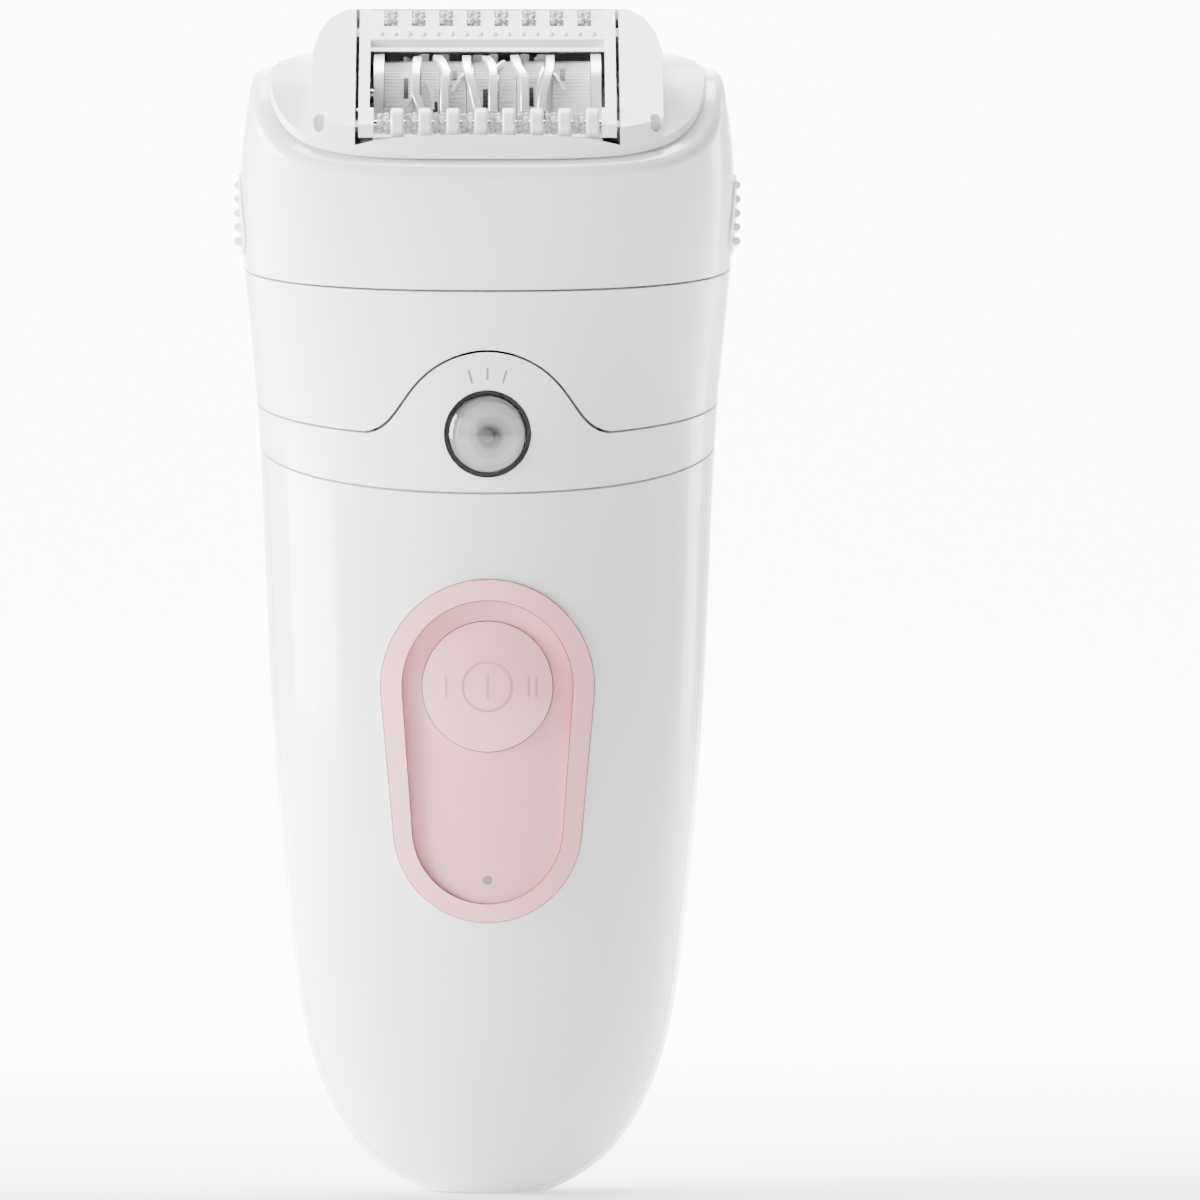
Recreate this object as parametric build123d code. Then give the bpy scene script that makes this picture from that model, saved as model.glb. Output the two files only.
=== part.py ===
"""Corded epilator: a hand-held housing with a geared motor, a lift-off tweezer head and a roller cap.

Frame: +Z runs up the handle, the front (lamp and switch) faces -Y, and the origin is the centre of the
flat base. All sizes are millimetres. Each function below makes one sub-part, and main() writes them.
"""
from build123d import *
import math
import os

# ---------------------------------------------------------------- driving dimensions
WALL = 2.0                 # housing wall thickness
SKIN_TOP = 146.0           # top of the construction skin, above every cut
# Stations of the outer skin: height, half width, front, back, squareness of the section
SKIN = [
    (0.0, 7.6, -5.8, 5.8, 2.2),
    (1.7, 11.1, -8.2, 8.2, 2.2),
    (4.5, 14.8, -10.9, 10.9, 2.2),
    (10.0, 18.8, -13.8, 13.7, 2.2),
    (20.0, 22.4, -16.1, 15.9, 2.2),
    (36.0, 24.6, -17.6, 17.2, 2.2),
    (60.0, 26.6, -18.3, 18.0, 2.2),
    (85.0, 27.7, -18.9, 18.8, 2.15),
    (100.0, 28.6, -20.4, 19.2, 2.2),
    (112.0, 29.8, -22.3, 19.0, 2.5),
    (122.0, 30.3, -23.9, 18.4, 3.0),
    (132.0, 29.6, -25.2, 17.2, 3.6),
    (138.0, 28.3, -25.9, 16.3, 3.8),
    (SKIN_TOP, 26.4, -26.7, 14.9, 3.8),
]
SECTION_POINTS = 32
SECTION_HEIGHTS = [0, 1.7, 4.5, 10, 20, 32, 45, 58, 71, 84, 96, 107, 118, 128, 137, SKIN_TOP]

# Seams are planes z = height + slope * y, lower at the front
HANDLE_SEAM = (92.2, 0.36)
HEAD_SEAM = (97.5, 0.273)
SKIRT_SEAM = (114.2, 0.20)
SEAM_GAP = 0.3
PARTING_Y = -5.5           # front and rear handle shells meet here
# Right half of the arch that lifts the head seam over the lamp, from crown to foot
ARCH = [(0, 102.6), (3.2, 102.1), (6.4, 100.6), (9.1, 98.1), (10.9, 95.6), (12.5, 93.8), (14.6, 92.9)]
ARCH_BACK_Y = -9.0
# Side profile of the rim that the cap sits in, and the rounding of its outer edge
RIM = [(-34, 123.4), (-26, 124.6), (-22.2, 125.6), (-18.8, 128.6), (-15.4, 133.0), (-11, 136.4), (-3, 138.0),
       (4, 138.0), (12, 137.0), (24, 133.2)]
RIM_WALL = 2.4

# Lamp
LAMP_Z = 92.6
LAMP_RADIUS = 5.3
LENS_RADIUS = 4.75

# Switch: two circles give the egg outline; the key is concentric with the upper one
KEY_Z = 62.0
TOE_Z = 44.8
SURROUND_RADII = (12.95, 11.4)
PANEL_RADII = (10.45, 9.2)
KEY_RADIUS = 7.9
SURROUND_PROUD = 0.6
PANEL_FRONT_Y = -17.5
PANEL_CROWN_RADIUS = 48.0
KEY_TRAVEL = 0.8
INDICATOR_Z = 38.5

# Drive: axes in the Y-Z plane, gears in one plane beside the drum
MODULE = 0.8
ADDENDUM = 0.68
DEDENDUM = 0.80
TOOTH_SHARE = 0.38         # tooth thickness over pitch, so the mesh has backlash
DRUM_TEETH, IDLER_TEETH, RELAY_TEETH = 13, 29, 14
CROWN_TEETH, PINION_TEETH = 20, 10
DRUM_AXIS = (-8.3, 131.3)
RELAY_AXIS = (1.5, 99.5)
GEAR_X = (15.9, 17.5)
AXLE_RADIUS = 1.0
RUNNING = 0.05             # radial clearance of a running fit
MOTOR_RADIUS = 12.0
MOTOR_Z = (56.0, 87.0)

# Drum
DRUM_RADIUS = 8.0
SEGMENT_RADIUS = 7.0
SHAFT_RADIUS = 1.5
DISC_X = (12.6, 13.8)
BLADE_ROW_X = [-8.6, -5.3, -2.1, 0.9, 4.0, 7.4]
BLADE_THICKNESS = 0.9
BLADES_PER_ROW = 4
SIDE_PLATE_X = (17.8, 19.3)

# Cap: local frame on the working plane, u up the face, w outwards
FACE_TILT = 42.0
FACE_ORIGIN = (-13.2, 136.7)
ROW_OFFSET = 9.85
ROLLER_COUNT = 8
ROLLER_PITCH = 3.375
ROLLER_RADIUS = 1.35
ROLLER_WIDTH = 1.4
ROLLER_AXLE_RADIUS = 0.45
POST_RADIUS, POST_WIDTH = 1.9, 1.6
FRONT_ROLLER_X, REAR_ROLLER_X = -12.6, -11.8
FRAME_HALF_WIDTH = 15.6
WINDOW_HALF_WIDTH = 14.0
CHEEK_HALF_WIDTH = 21.3
SLIT = 0.45
WING_INSET = 1.9            # how far the cap's wings stay inside the skin
CAP_LEAN = -0.14            # y over z of the way the cap lifts off

# Release buttons
RELEASE_Y, RELEASE_Z = -3.0, 119.8
RELEASE_SIZE = (14.0, 9.6)
RELEASE_RIBS = 5

# Power inlet
INLET_SLOT = (10.6, 6.0)
INLET_DEPTH = 10.0
INLET_PIN_RADIUS, INLET_PIN_X, INLET_PIN_TIP = 0.8, 2.6, 4.6
INLET_TAIL_RADIUS = 1.0    # the part of each pin that is moulded into the socket

FAR = 60.0                 # beyond every surface, for cutting tools


# ---------------------------------------------------------------- construction helpers
def skin_at(height):
    """Half width, front, back and squareness of the outer skin at a height, as a smooth curve."""
    rows = SKIN
    i = max(k for k in range(len(rows) - 1) if rows[k][0] <= height)
    step = rows[i + 1][0] - rows[i][0]
    t = (height - rows[i][0]) / step
    values = []
    for c in range(1, 5):
        slopes = [(b[c] - a[c]) / (b[0] - a[0]) for a, b in zip(rows, rows[1:])]
        start = slopes[i] if i == 0 else mixed_slope(rows, slopes, i)
        end = slopes[i] if i == len(slopes) - 1 else mixed_slope(rows, slopes, i + 1)
        values.append(rows[i][c] * (2 * t**3 - 3 * t**2 + 1) + rows[i + 1][c] * (3 * t**2 - 2 * t**3)
                      + step * (start * (t**3 - 2 * t**2 + t) + end * (t**3 - t**2)))
    return values


def mixed_slope(rows, slopes, i):
    """Slope at station i, weighted by the lengths of its two neighbouring spans."""
    before, after = rows[i][0] - rows[i - 1][0], rows[i + 1][0] - rows[i][0]
    return (slopes[i - 1] * after + slopes[i] * before) / (before + after)


def skin_wire(height, inset):
    """Closed section of the skin, moved inwards by inset."""
    half, front, back, power = skin_at(height)
    half, front, back = half - inset, front + inset, back - inset
    middle, depth = (front + back) / 2, (back - front) / 2
    points = []
    for i in range(SECTION_POINTS):
        angle = math.pi / 2 + 2 * math.pi * i / SECTION_POINTS
        c, s = math.cos(angle), math.sin(angle)
        radius = (abs(c / half) ** power + abs(s / depth) ** power) ** (-1 / power)
        points.append((radius * c, middle + radius * s, height))
    return Wire([Edge.make_spline([Vector(*p) for p in points], periodic=True)])


def skin_solid(inset=0.0, bottom=0.0):
    """Solid inside the skin, moved inwards by inset and starting at height bottom."""
    heights = [bottom] + [z for z in SECTION_HEIGHTS if z > bottom + 1.0]
    return Solid.make_loft([skin_wire(z, inset) for z in heights])


def swept(outline, travel):
    """Solid swept by a closed flat outline moved along travel."""
    return Solid.extrude(make_face(outline).face(), travel)


def side_prism(points, x_low=-FAR, x_high=FAR):
    """Prism along X over a closed (y, z) polygon."""
    outline = Polyline(*[(x_low, y, z) for y, z in points], close=True)
    return swept(outline, Vector(x_high - x_low, 0, 0))


def side_face(points, x):
    """Flat face across X over a closed (y, z) polygon."""
    return make_face(Polyline(*[(x, y, z) for y, z in points], close=True)).face()


def front_prism(points, y_low=-FAR, y_high=FAR):
    """Prism along Y over a closed (x, z) polygon."""
    outline = Polyline(*[(x, y_low, z) for x, z in points], close=True)
    return swept(outline, Vector(0, y_high - y_low, 0))


def box(x, y, z):
    """Box from (low, high) pairs."""
    size = [pair[1] - pair[0] for pair in (x, y, z)]
    return Pos(x[0], y[0], z[0]) * Solid.make_box(*size)


def rod(start, end, radius):
    """Cylinder between two points."""
    along = Vector(*end) - Vector(*start)
    return Solid.make_cylinder(radius, along.length, Plane(origin=start, z_dir=along))


def above(seam, lift=0.0):
    """Everything above a seam plane."""
    height, slope = seam
    low, high = height + lift - FAR * slope, height + lift + FAR * slope
    return side_prism([(-FAR, low), (FAR, high), (FAR, 3 * FAR), (-FAR, 3 * FAR)])


def below(seam, lift=0.0):
    """Everything below a seam plane."""
    height, slope = seam
    low, high = height + lift - FAR * slope, height + lift + FAR * slope
    return side_prism([(-FAR, low), (FAR, high), (FAR, -FAR), (-FAR, -FAR)])


def arch_prism(grow):
    """The tongue of the light collar: the arch outline, grown outwards, run along Y."""
    right = [(x + grow * x / 14.6, z + grow) for x, z in ARCH]
    left = [(-x, z) for x, z in reversed(right[1:])]
    floor = 84.0
    crown = Spline(*[(x, -FAR, z) for x, z in left + right])
    end, start = right[-1], left[0]
    foot = Polyline((end[0], -FAR, end[1]), (end[0], -FAR, floor),
                    (start[0], -FAR, floor), (start[0], -FAR, start[1]))
    return swept([crown, *foot.edges()], Vector(0, FAR + ARCH_BACK_Y, 0))


def under_rim(drop=0.0):
    """Everything below the rim curve, lowered by drop."""
    curve = Spline(*[(-FAR, y, z - drop) for y, z in RIM])
    (y0, z0), (y1, z1) = RIM[0], RIM[-1]
    foot = Polyline((-FAR, y1, z1 - drop), (-FAR, y1, 0), (-FAR, y0, 0), (-FAR, y0, z0 - drop))
    return swept([curve, *foot.edges()], Vector(2 * FAR, 0, 0))


def egg_prism(radii, y_low, y_high, grow=0.0):
    """Prism along Y over the hull of the key circle and the toe circle."""
    top, toe = radii[0] + grow, radii[1] + grow
    lean = math.asin((top - toe) / (KEY_Z - TOE_Z))
    c, s = math.cos(lean), math.sin(lean)
    y = y_low
    upper = (top * c, y, KEY_Z + top * s * -1)
    lower = (toe * c, y, TOE_Z + toe * s * -1)
    edges = [
        ThreePointArc(upper, (0, y, KEY_Z + top), (-upper[0], y, upper[2])),
        Line((-upper[0], y, upper[2]), (-lower[0], y, lower[2])),
        ThreePointArc((-lower[0], y, lower[2]), (0, y, TOE_Z - toe), lower),
        Line(lower, upper),
    ]
    return swept(edges, Vector(0, y_high - y_low, 0))


def gear(teeth, axis, x, phase, bore):
    """Spur gear about an X-parallel axis, with one tooth centred at angle phase."""
    pitch_radius = MODULE * teeth / 2
    root, tip = pitch_radius - DEDENDUM, pitch_radius + ADDENDUM
    half = TOOTH_SHARE * math.pi / teeth
    flank = math.tan(math.radians(20)) / pitch_radius
    points = []
    for i in range(teeth):
        centre = phase + 2 * math.pi * i / teeth
        for radius, side in ((root, -1), (tip, -1), (tip, 1), (root, 1)):
            angle = centre + side * (half - (radius - pitch_radius) * flank)
            points.append((axis[0] + radius * math.cos(angle), axis[1] + radius * math.sin(angle)))
    blank = side_prism(points, *x)
    return blank - rod((x[0], *axis), (x[1], *axis), bore)


def meshing_phase(phase_a, teeth_a, axis_a, teeth_b, axis_b):
    """Phase of gear b whose gap faces a tooth of gear a on their line of centres."""
    line = math.atan2(axis_b[1] - axis_a[1], axis_b[0] - axis_a[0])
    share = (line - phase_a) * teeth_a / (2 * math.pi)
    return line + math.pi - (0.5 - share) * 2 * math.pi / teeth_b


def idler_axis():
    """Where the idler meshes with both the drum gear and the relay gear."""
    to_relay = MODULE * (IDLER_TEETH + RELAY_TEETH) / 2
    to_drum = MODULE * (IDLER_TEETH + DRUM_TEETH) / 2
    dy, dz = DRUM_AXIS[0] - RELAY_AXIS[0], DRUM_AXIS[1] - RELAY_AXIS[1]
    span = math.hypot(dy, dz)
    along = (to_relay**2 - to_drum**2 + span**2) / (2 * span)
    aside = math.sqrt(to_relay**2 - along**2)
    uy, uz = dy / span, dz / span
    return (RELAY_AXIS[0] + along * uy + aside * uz, RELAY_AXIS[1] + along * uz - aside * uy)


IDLER_AXIS = idler_axis()
DRUM_PHASE = 0.0
IDLER_PHASE = meshing_phase(DRUM_PHASE, DRUM_TEETH, DRUM_AXIS, IDLER_TEETH, IDLER_AXIS)
RELAY_PHASE = meshing_phase(IDLER_PHASE, IDLER_TEETH, IDLER_AXIS, RELAY_TEETH, RELAY_AXIS)

SIN_TILT, COS_TILT = math.sin(math.radians(FACE_TILT)), math.cos(math.radians(FACE_TILT))


def face_point(u, w):
    """(y, z) of a point on the working face."""
    return (FACE_ORIGIN[0] + u * COS_TILT - w * SIN_TILT, FACE_ORIGIN[1] + u * SIN_TILT + w * COS_TILT)


def face_plane(x=0.0, u=0.0, w=0.0):
    """Plane on the working face, its x along X, its y up the face and its z outwards."""
    return Plane(origin=(x, *face_point(u, w)), x_dir=(1, 0, 0), z_dir=(0, -SIN_TILT, COS_TILT))


def face_box(x, u, w):
    """Box in the working frame from (low, high) pairs."""
    size = [pair[1] - pair[0] for pair in (x, u, w)]
    return face_plane(x[0], u[0], w[0]).location * Solid.make_box(*size)


# ---------------------------------------------------------------- handle housing
def housing():
    """The whole hollow housing, before the seams divide it."""
    return skin_solid() - skin_solid(WALL, bottom=2.4)


def inlet_prism(grow, depth):
    """The stadium outline of the power inlet, run up from the base."""
    length, width = INLET_SLOT[0] + 2 * grow, INLET_SLOT[1] + 2 * grow
    return extrude(Plane.XY * SlotOverall(length, width), depth)


def handle_shells(shell):
    """Front and rear handle shells, parted in front of the widest line."""
    handle = shell & below(HANDLE_SEAM, -SEAM_GAP / 2)
    handle -= inlet_prism(1.3, 3.2)
    front = handle & box((-FAR, FAR), (-FAR, PARTING_Y), (-FAR, 3 * FAR))
    rear = handle & box((-FAR, FAR), (PARTING_Y + 0.15, FAR), (-FAR, 3 * FAR))
    front -= egg_prism(SURROUND_RADII, -FAR, -8.0, 0.1)
    return front, rear


def light_collar(shell):
    """Ring between handle and head, with the tongue that carries the lamp."""
    ring = shell & above(HANDLE_SEAM, SEAM_GAP / 2)
    top = below(HEAD_SEAM, -SEAM_GAP / 2).fuse(arch_prism(-SEAM_GAP / 2))
    return (ring & top) - rod((0, -FAR, LAMP_Z), (0, -10, LAMP_Z), LAMP_RADIUS)


def lamp_bezel():
    y_front = skin_at(LAMP_Z)[1]
    ring = rod((0, y_front + 0.05, LAMP_Z), (0, y_front + 4.0, LAMP_Z), LAMP_RADIUS - 0.12)
    return ring - rod((0, -FAR, LAMP_Z), (0, 0, LAMP_Z), LENS_RADIUS + 0.05)


def lamp_lens():
    """Dome over a short barrel."""
    y_edge = skin_at(LAMP_Z)[1] + 0.1
    rise = 1.5
    sphere_radius = (LENS_RADIUS**2 + rise**2) / (2 * rise)
    dome = Pos(0, y_edge - rise + sphere_radius, LAMP_Z) * Solid.make_sphere(sphere_radius, angle1=-90, angle2=90)
    barrel = rod((0, y_edge - 3, LAMP_Z), (0, y_edge + 3.4, LAMP_Z), LENS_RADIUS)
    pocket = rod((0, y_edge + 2.2, LAMP_Z), (0, y_edge + 5, LAMP_Z), LENS_RADIUS - 1.0)
    return (barrel & dome) - pocket


def lamp_led():
    """Lamp on its own small board, standing behind the lens."""
    y_board = skin_at(LAMP_Z)[1] + 6.6
    board = box((-4, 4), (y_board, y_board + 1.0), (LAMP_Z - 3.2, LAMP_Z + 3.2))
    chip = rod((0, y_board - 1.6, LAMP_Z), (0, y_board, LAMP_Z), 1.6)
    return board.fuse(chip)


# ---------------------------------------------------------------- switch
def switch_surround():
    """Soft rim around the thumb panel, standing a little proud of the skin."""
    plug = egg_prism(SURROUND_RADII, -FAR, -8.0) & skin_solid(-SURROUND_PROUD, 20.0)
    plug -= skin_solid(WALL - 0.1, 20.0)
    return plug - egg_prism(PANEL_RADII, -FAR, -8.0)


def panel_front(y_front):
    """Everything behind the crowned front of the thumb panel."""
    return rod((0, y_front + PANEL_CROWN_RADIUS, 20), (0, y_front + PANEL_CROWN_RADIUS, 90), PANEL_CROWN_RADIUS)


def switch_panel():
    plate = egg_prism(PANEL_RADII, -FAR, -8.0, -0.08) & panel_front(PANEL_FRONT_Y)
    plate -= panel_front(PANEL_FRONT_Y + 1.4)
    plate -= rod((0, -FAR, KEY_Z), (0, -8, KEY_Z), KEY_RADIUS + 0.1)
    return plate - rod((0, -FAR, INDICATOR_Z), (0, -8, INDICATOR_Z), 0.55)


def power_button():
    """Domed key with sunk speed and on-off marks, and a stem for the tact switch."""
    apex, rise, groove = -18.7, 0.9, 0.14
    sphere_radius = (KEY_RADIUS**2 + rise**2) / (2 * rise)
    dome = Pos(0, apex + sphere_radius, KEY_Z) * Solid.make_sphere(sphere_radius, angle1=-90, angle2=90)
    key = rod((0, -22, KEY_Z), (0, apex + 2.3, KEY_Z), KEY_RADIUS) & dome
    front = (-22, apex + groove + 0.05)
    ring = rod((0, front[0], KEY_Z), (0, front[1], KEY_Z), 3.15)
    key -= ring - rod((0, front[0], KEY_Z), (0, front[1], KEY_Z), 2.8)
    key -= box((-0.16, 0.16), front, (KEY_Z - 1.5, KEY_Z + 1.5))
    for x in (-5.0, 5.0, 5.95):
        edge_y = apex + sphere_radius - math.sqrt(sphere_radius**2 - x**2)
        key -= box((x - 0.14, x + 0.14), (front[0], edge_y + groove), (KEY_Z - 1.3, KEY_Z + 1.3))
    return key.fuse(rod((0, apex + 2.3, KEY_Z), (0, -15.9, KEY_Z), 2.2))


def indicator_pipe():
    y_front = PANEL_FRONT_Y - 0.02
    return rod((0, y_front, INDICATOR_Z), (0, -12.9, INDICATOR_Z), 0.5)


def circuit_board():
    """Main board behind the switch."""
    board = box((-10, 10), (-12.4, -11.2), (33, 74))
    return board - rod((7.5, -20, 36.0), (7.5, 0, 36.0), 1.2) - rod((-7.5, -20, 36.0), (-7.5, 0, 36.0), 1.2)


def board_parts():
    """Chips, capacitor, connector and indicator lamp on the board, as separate solids."""
    parts = [
        box((-3.5, 3.5), (-13.9, -12.4), (48, 53)),
        box((-8.5, -5.5), (-14.1, -12.4), (44, 50)),
        box((5, 8.5), (-14.4, -12.4), (42, 50)),
        rod((-5.5, -12.4, 40), (-5.5, -14.8, 40), 2.4),
        box((-0.8, 0.8), (-12.85, -12.4), (INDICATOR_Z - 0.8, INDICATOR_Z + 0.8)),
        box((3.6, 8.6), (-11.2, -8.6), (40, 46)),
    ]
    return Compound(children=parts)


def tact_switch():
    body = box((-3, 3), (-14.6, -12.4), (KEY_Z - 3, KEY_Z + 3))
    return body.fuse(rod((0, -14.6, KEY_Z), (0, -15.0, KEY_Z), 1.6))


# ---------------------------------------------------------------- motor and chassis
def motor_can():
    """Drawn can with flats at front and back, and a bearing boss."""
    y = RELAY_AXIS[0]
    can = rod((0, y, MOTOR_Z[0]), (0, y, MOTOR_Z[1]), MOTOR_RADIUS)
    can &= box((-FAR, FAR), (y - 11.4, y + 11.4), (0, FAR * 3))
    can = can.fuse(rod((0, y, MOTOR_Z[1]), (0, y, MOTOR_Z[1] + 1.6), 3.0))
    return can - rod((0, y, MOTOR_Z[0] - 1), (0, y, MOTOR_Z[1] + 5), 1.0 + RUNNING)


def motor_end_cap():
    """Moulded brush cap with two terminals."""
    y, z = RELAY_AXIS[0], MOTOR_Z[0]
    cap = rod((0, y, z - 3.2), (0, y, z), MOTOR_RADIUS - 0.9)
    cap &= box((-FAR, FAR), (y - 10.6, y + 10.6), (0, FAR * 3))
    cap -= rod((0, y, z - 5), (0, y, z + 1), 1.0 + RUNNING)
    for x in (-7, 7):
        cap = cap.fuse(box((x - 0.25, x + 0.25), (y - 1.2, y + 1.2), (z - 6.4, z - 3.2)))
    return cap


def motor_shaft():
    y = RELAY_AXIS[0]
    return rod((0, y, MOTOR_Z[0] - 2.6), (0, y, RELAY_AXIS[1] - 6.4), 1.0)


def crown_pitch_radius():
    return MODULE * CROWN_TEETH / 2


def motor_pinion():
    """Small pinion that drives the face teeth of the relay gear."""
    y = RELAY_AXIS[0]
    low, high = RELAY_AXIS[1] - crown_pitch_radius() - 1.2, RELAY_AXIS[1] - crown_pitch_radius() + 1.2
    pitch_radius = MODULE * PINION_TEETH / 2
    half = TOOTH_SHARE * math.pi / PINION_TEETH
    flank = math.tan(math.radians(20)) / pitch_radius
    points = []
    for i in range(PINION_TEETH):
        centre = 2 * math.pi * i / PINION_TEETH
        for radius, side in ((pitch_radius - DEDENDUM, -1), (pitch_radius + ADDENDUM, -1),
                             (pitch_radius + ADDENDUM, 1), (pitch_radius - DEDENDUM, 1)):
            angle = centre + side * (half - (radius - pitch_radius) * flank)
            points.append((radius * math.cos(angle), y + radius * math.sin(angle), low))
    blank = swept(Polyline(*points, close=True), Vector(0, 0, high - low))
    return blank - rod((0, y, low), (0, y, high), 1.0)


def relay_gear():
    """Compound gear: face teeth towards the motor pinion, a hub, and spur teeth for the head."""
    face_x = MODULE * PINION_TEETH / 2
    root_x = face_x + DEDENDUM
    radius = crown_pitch_radius()
    y, z = RELAY_AXIS
    body = rod((root_x, y, z), (root_x + 1.8, y, z), radius + 0.9)
    body = body.fuse(rod((root_x + 1.8, y, z), (GEAR_X[0], y, z), 3.2))
    half, slope = TOOTH_SHARE * math.pi * MODULE / 2, math.tan(math.radians(20))
    tip, root = half - ADDENDUM * slope, half + DEDENDUM * slope
    for i in range(CROWN_TEETH):
        angle = 360 * (i + 0.5) / CROWN_TEETH - 90
        outline = Polyline((face_x - ADDENDUM, -tip, radius - 0.9), (face_x - ADDENDUM, tip, radius - 0.9),
                           (root_x + 0.1, root, radius - 0.9), (root_x + 0.1, -root, radius - 0.9), close=True)
        tooth = swept(outline, Vector(0, 0, 1.8))
        body = body.fuse(Pos(0, y, z) * Rot(angle - 90, 0, 0) * tooth)
    body = body.fuse(gear(RELAY_TEETH, RELAY_AXIS, GEAR_X, RELAY_PHASE, 0.5))
    return body - rod((0, y, z), (20, y, z), AXLE_RADIUS + RUNNING)


def relay_axle():
    return rod((1.0, *RELAY_AXIS), (SIDE_PLATE_X[1], *RELAY_AXIS), AXLE_RADIUS)


def drive_chassis():
    """Spine, motor plate and the two ears that hold the relay axle."""
    y = RELAY_AXIS[0]
    plate_z = (MOTOR_Z[1], MOTOR_Z[1] + 2)
    spine = box((-8, 8), (13.1, 14.8), (24, plate_z[1]))
    plate = rod((0, y, plate_z[0]), (0, y, plate_z[1]), 13.0) - rod((0, y, 80), (0, y, 95), 3.1)
    tower = box((0.8, SIDE_PLATE_X[1]), (11.0, 12.4), (plate_z[0], 102.6))
    for x_low, x_high in ((0.8, 2.8), SIDE_PLATE_X):
        tower = tower.fuse(box((x_low, x_high), (-1.6, 11.4), (96.6, 102.6)))
    tower &= skin_solid(WALL + 1.8, 58.0)
    chassis = (spine & skin_solid(WALL + 0.2, 20.0)).fuse(plate, tower)
    chassis -= rod((0, *RELAY_AXIS), (20, *RELAY_AXIS), AXLE_RADIUS)
    for dy in (-8, 8):
        chassis -= rod((0, y + dy, 80), (0, y + dy, 95), 0.9)
    for z in (28, 46):
        chassis -= rod((0, 10, z), (0, 16, z), 1.1)
    return chassis


def chassis_screws():
    """Two motor screws and two chassis screws, as separate solids."""
    y = RELAY_AXIS[0]
    screws = []
    for dy in (-8, 8):
        head = rod((0, y + dy, MOTOR_Z[1] + 2), (0, y + dy, MOTOR_Z[1] + 3.2), 1.7)
        screws.append(head.fuse(rod((0, y + dy, MOTOR_Z[1]), (0, y + dy, MOTOR_Z[1] + 2), 0.9)))
    for z in (28, 46):
        screws.append(rod((0, 11.9, z), (0, 13.1, z), 2.0).fuse(rod((0, 13.1, z), (0, 14.0, z), 1.1)))
    return Compound(children=screws)


def coupling_deck():
    """Slanted deck that closes the handle, with a slot for the gear tower."""
    seam = (93.4, 0.31)
    plate = skin_solid(WALL + 0.05, 40.0) & above(seam) & below(seam, 1.8)
    plate -= box((0.2, SIDE_PLATE_X[1] + 0.5), (-8.4, 13.4), (80, 120))
    plate -= rod((0, RELAY_AXIS[0], 80), (0, RELAY_AXIS[0], 120), 5.4)
    return plate - lamp_bay()


def lamp_bay():
    """Room behind the lamp that the deck and its seal leave free."""
    return box((-6.5, 6.5), (-FAR, -11.0), (80, 120))


def deck_seal():
    """Rubber frame that seals the deck against the head."""
    seam = (95.2, 0.31)
    ring = skin_solid(WALL + 0.1, 58.0) - skin_solid(WALL + 1.5, 58.0)
    return (ring & above(seam) & below(seam, 1.2)) - lamp_bay()


# ---------------------------------------------------------------- power inlet and leads
def power_inlet():
    body = inlet_prism(1.2, INLET_DEPTH + 3) - inlet_prism(0, INLET_DEPTH)
    for x in (-INLET_PIN_X, INLET_PIN_X):
        body -= rod((x, 0, 5), (x, 0, 20), INLET_TAIL_RADIUS)
    return body


def inlet_pins():
    pins = []
    for x in (-INLET_PIN_X, INLET_PIN_X):
        free = rod((x, 0, INLET_PIN_TIP), (x, 0, INLET_DEPTH), INLET_PIN_RADIUS)
        pins.append(free.fuse(rod((x, 0, INLET_DEPTH), (x, 0, INLET_DEPTH + 5), INLET_TAIL_RADIUS)))
    return Compound(children=pins)


def lead(points, radius):
    """Insulated wire along straight runs joined by arcs."""
    runs = [(Vector(*b) - Vector(*a)).length for a, b in zip(points, points[1:])]
    radii = []
    for a, b, c, run_in, run_out in zip(points, points[1:], points[2:], runs, runs[1:]):
        turn = math.radians((Vector(*b) - Vector(*a)).get_angle(Vector(*c) - Vector(*b)))
        radii.append(0.45 * min(run_in, run_out) / math.tan(turn / 2))
    path = FilletPolyline(*points, radius=radii)
    start = Plane(origin=points[0], z_dir=Vector(*points[1]) - Vector(*points[0]))
    return sweep(start * Circle(radius), path=path)


def inlet_leads():
    """Two wires from the inlet pins up to the board connector."""
    wires = []
    for side in (-1, 1):
        x = side * INLET_PIN_X
        end = 6.1 + side * 1.1
        wires.append(lead([(x, 0, 15.0), (x, 0, 19), (x + 1.5, -2.5, 26), (end, -9.9, 34), (end, -9.9, 40.0)], 0.6))
    return Compound(children=wires)


def motor_leads():
    """Two wires from the board up to the motor terminals."""
    y = RELAY_AXIS[0]
    return Compound(children=[
        lead([(-7, y, 49.6), (-7, y, 46.6), (-5.4, -6.4, 42.6), (-5.0, -8.2, 42.6), (-5.0, -11.2, 42.6)], 0.6),
        lead([(7, y, 49.6), (7, y, 47.4), (6.4, -3.6, 44.4), (6.2, -5.6, 44.4), (6.2, -8.6, 44.4)], 0.6),
    ])


# ---------------------------------------------------------------- head housing
def release_window(side, grow):
    """Rounded window or pad outline on one side, run along X."""
    width, height = RELEASE_SIZE[0] + 2 * grow, RELEASE_SIZE[1] + 2 * grow
    sketch = Plane(origin=(side * 18, RELEASE_Y, RELEASE_Z), x_dir=(0, 1, 0), z_dir=(side, 0, 0))
    return extrude(sketch * RectangleRounded(width, height, 3.0 + grow), 20)


def head_skirt(shell):
    """Lower ring of the head, arched over the lamp."""
    ring = shell & below(SKIRT_SEAM, -SEAM_GAP / 2)
    for x, y in head_screw_places():
        top = head_seat_z(y) - 2.5
        ring = ring.fuse(rod((x, y, 104.5), (x, y, top), 1.9) & skin_solid(WALL - 0.2, 90.0))
        ring -= rod((x, y, 106), (x, y, top + 5), 0.8)
    bottom = above(HEAD_SEAM, SEAM_GAP / 2) - arch_prism(SEAM_GAP / 2)
    return ring & bottom


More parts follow.
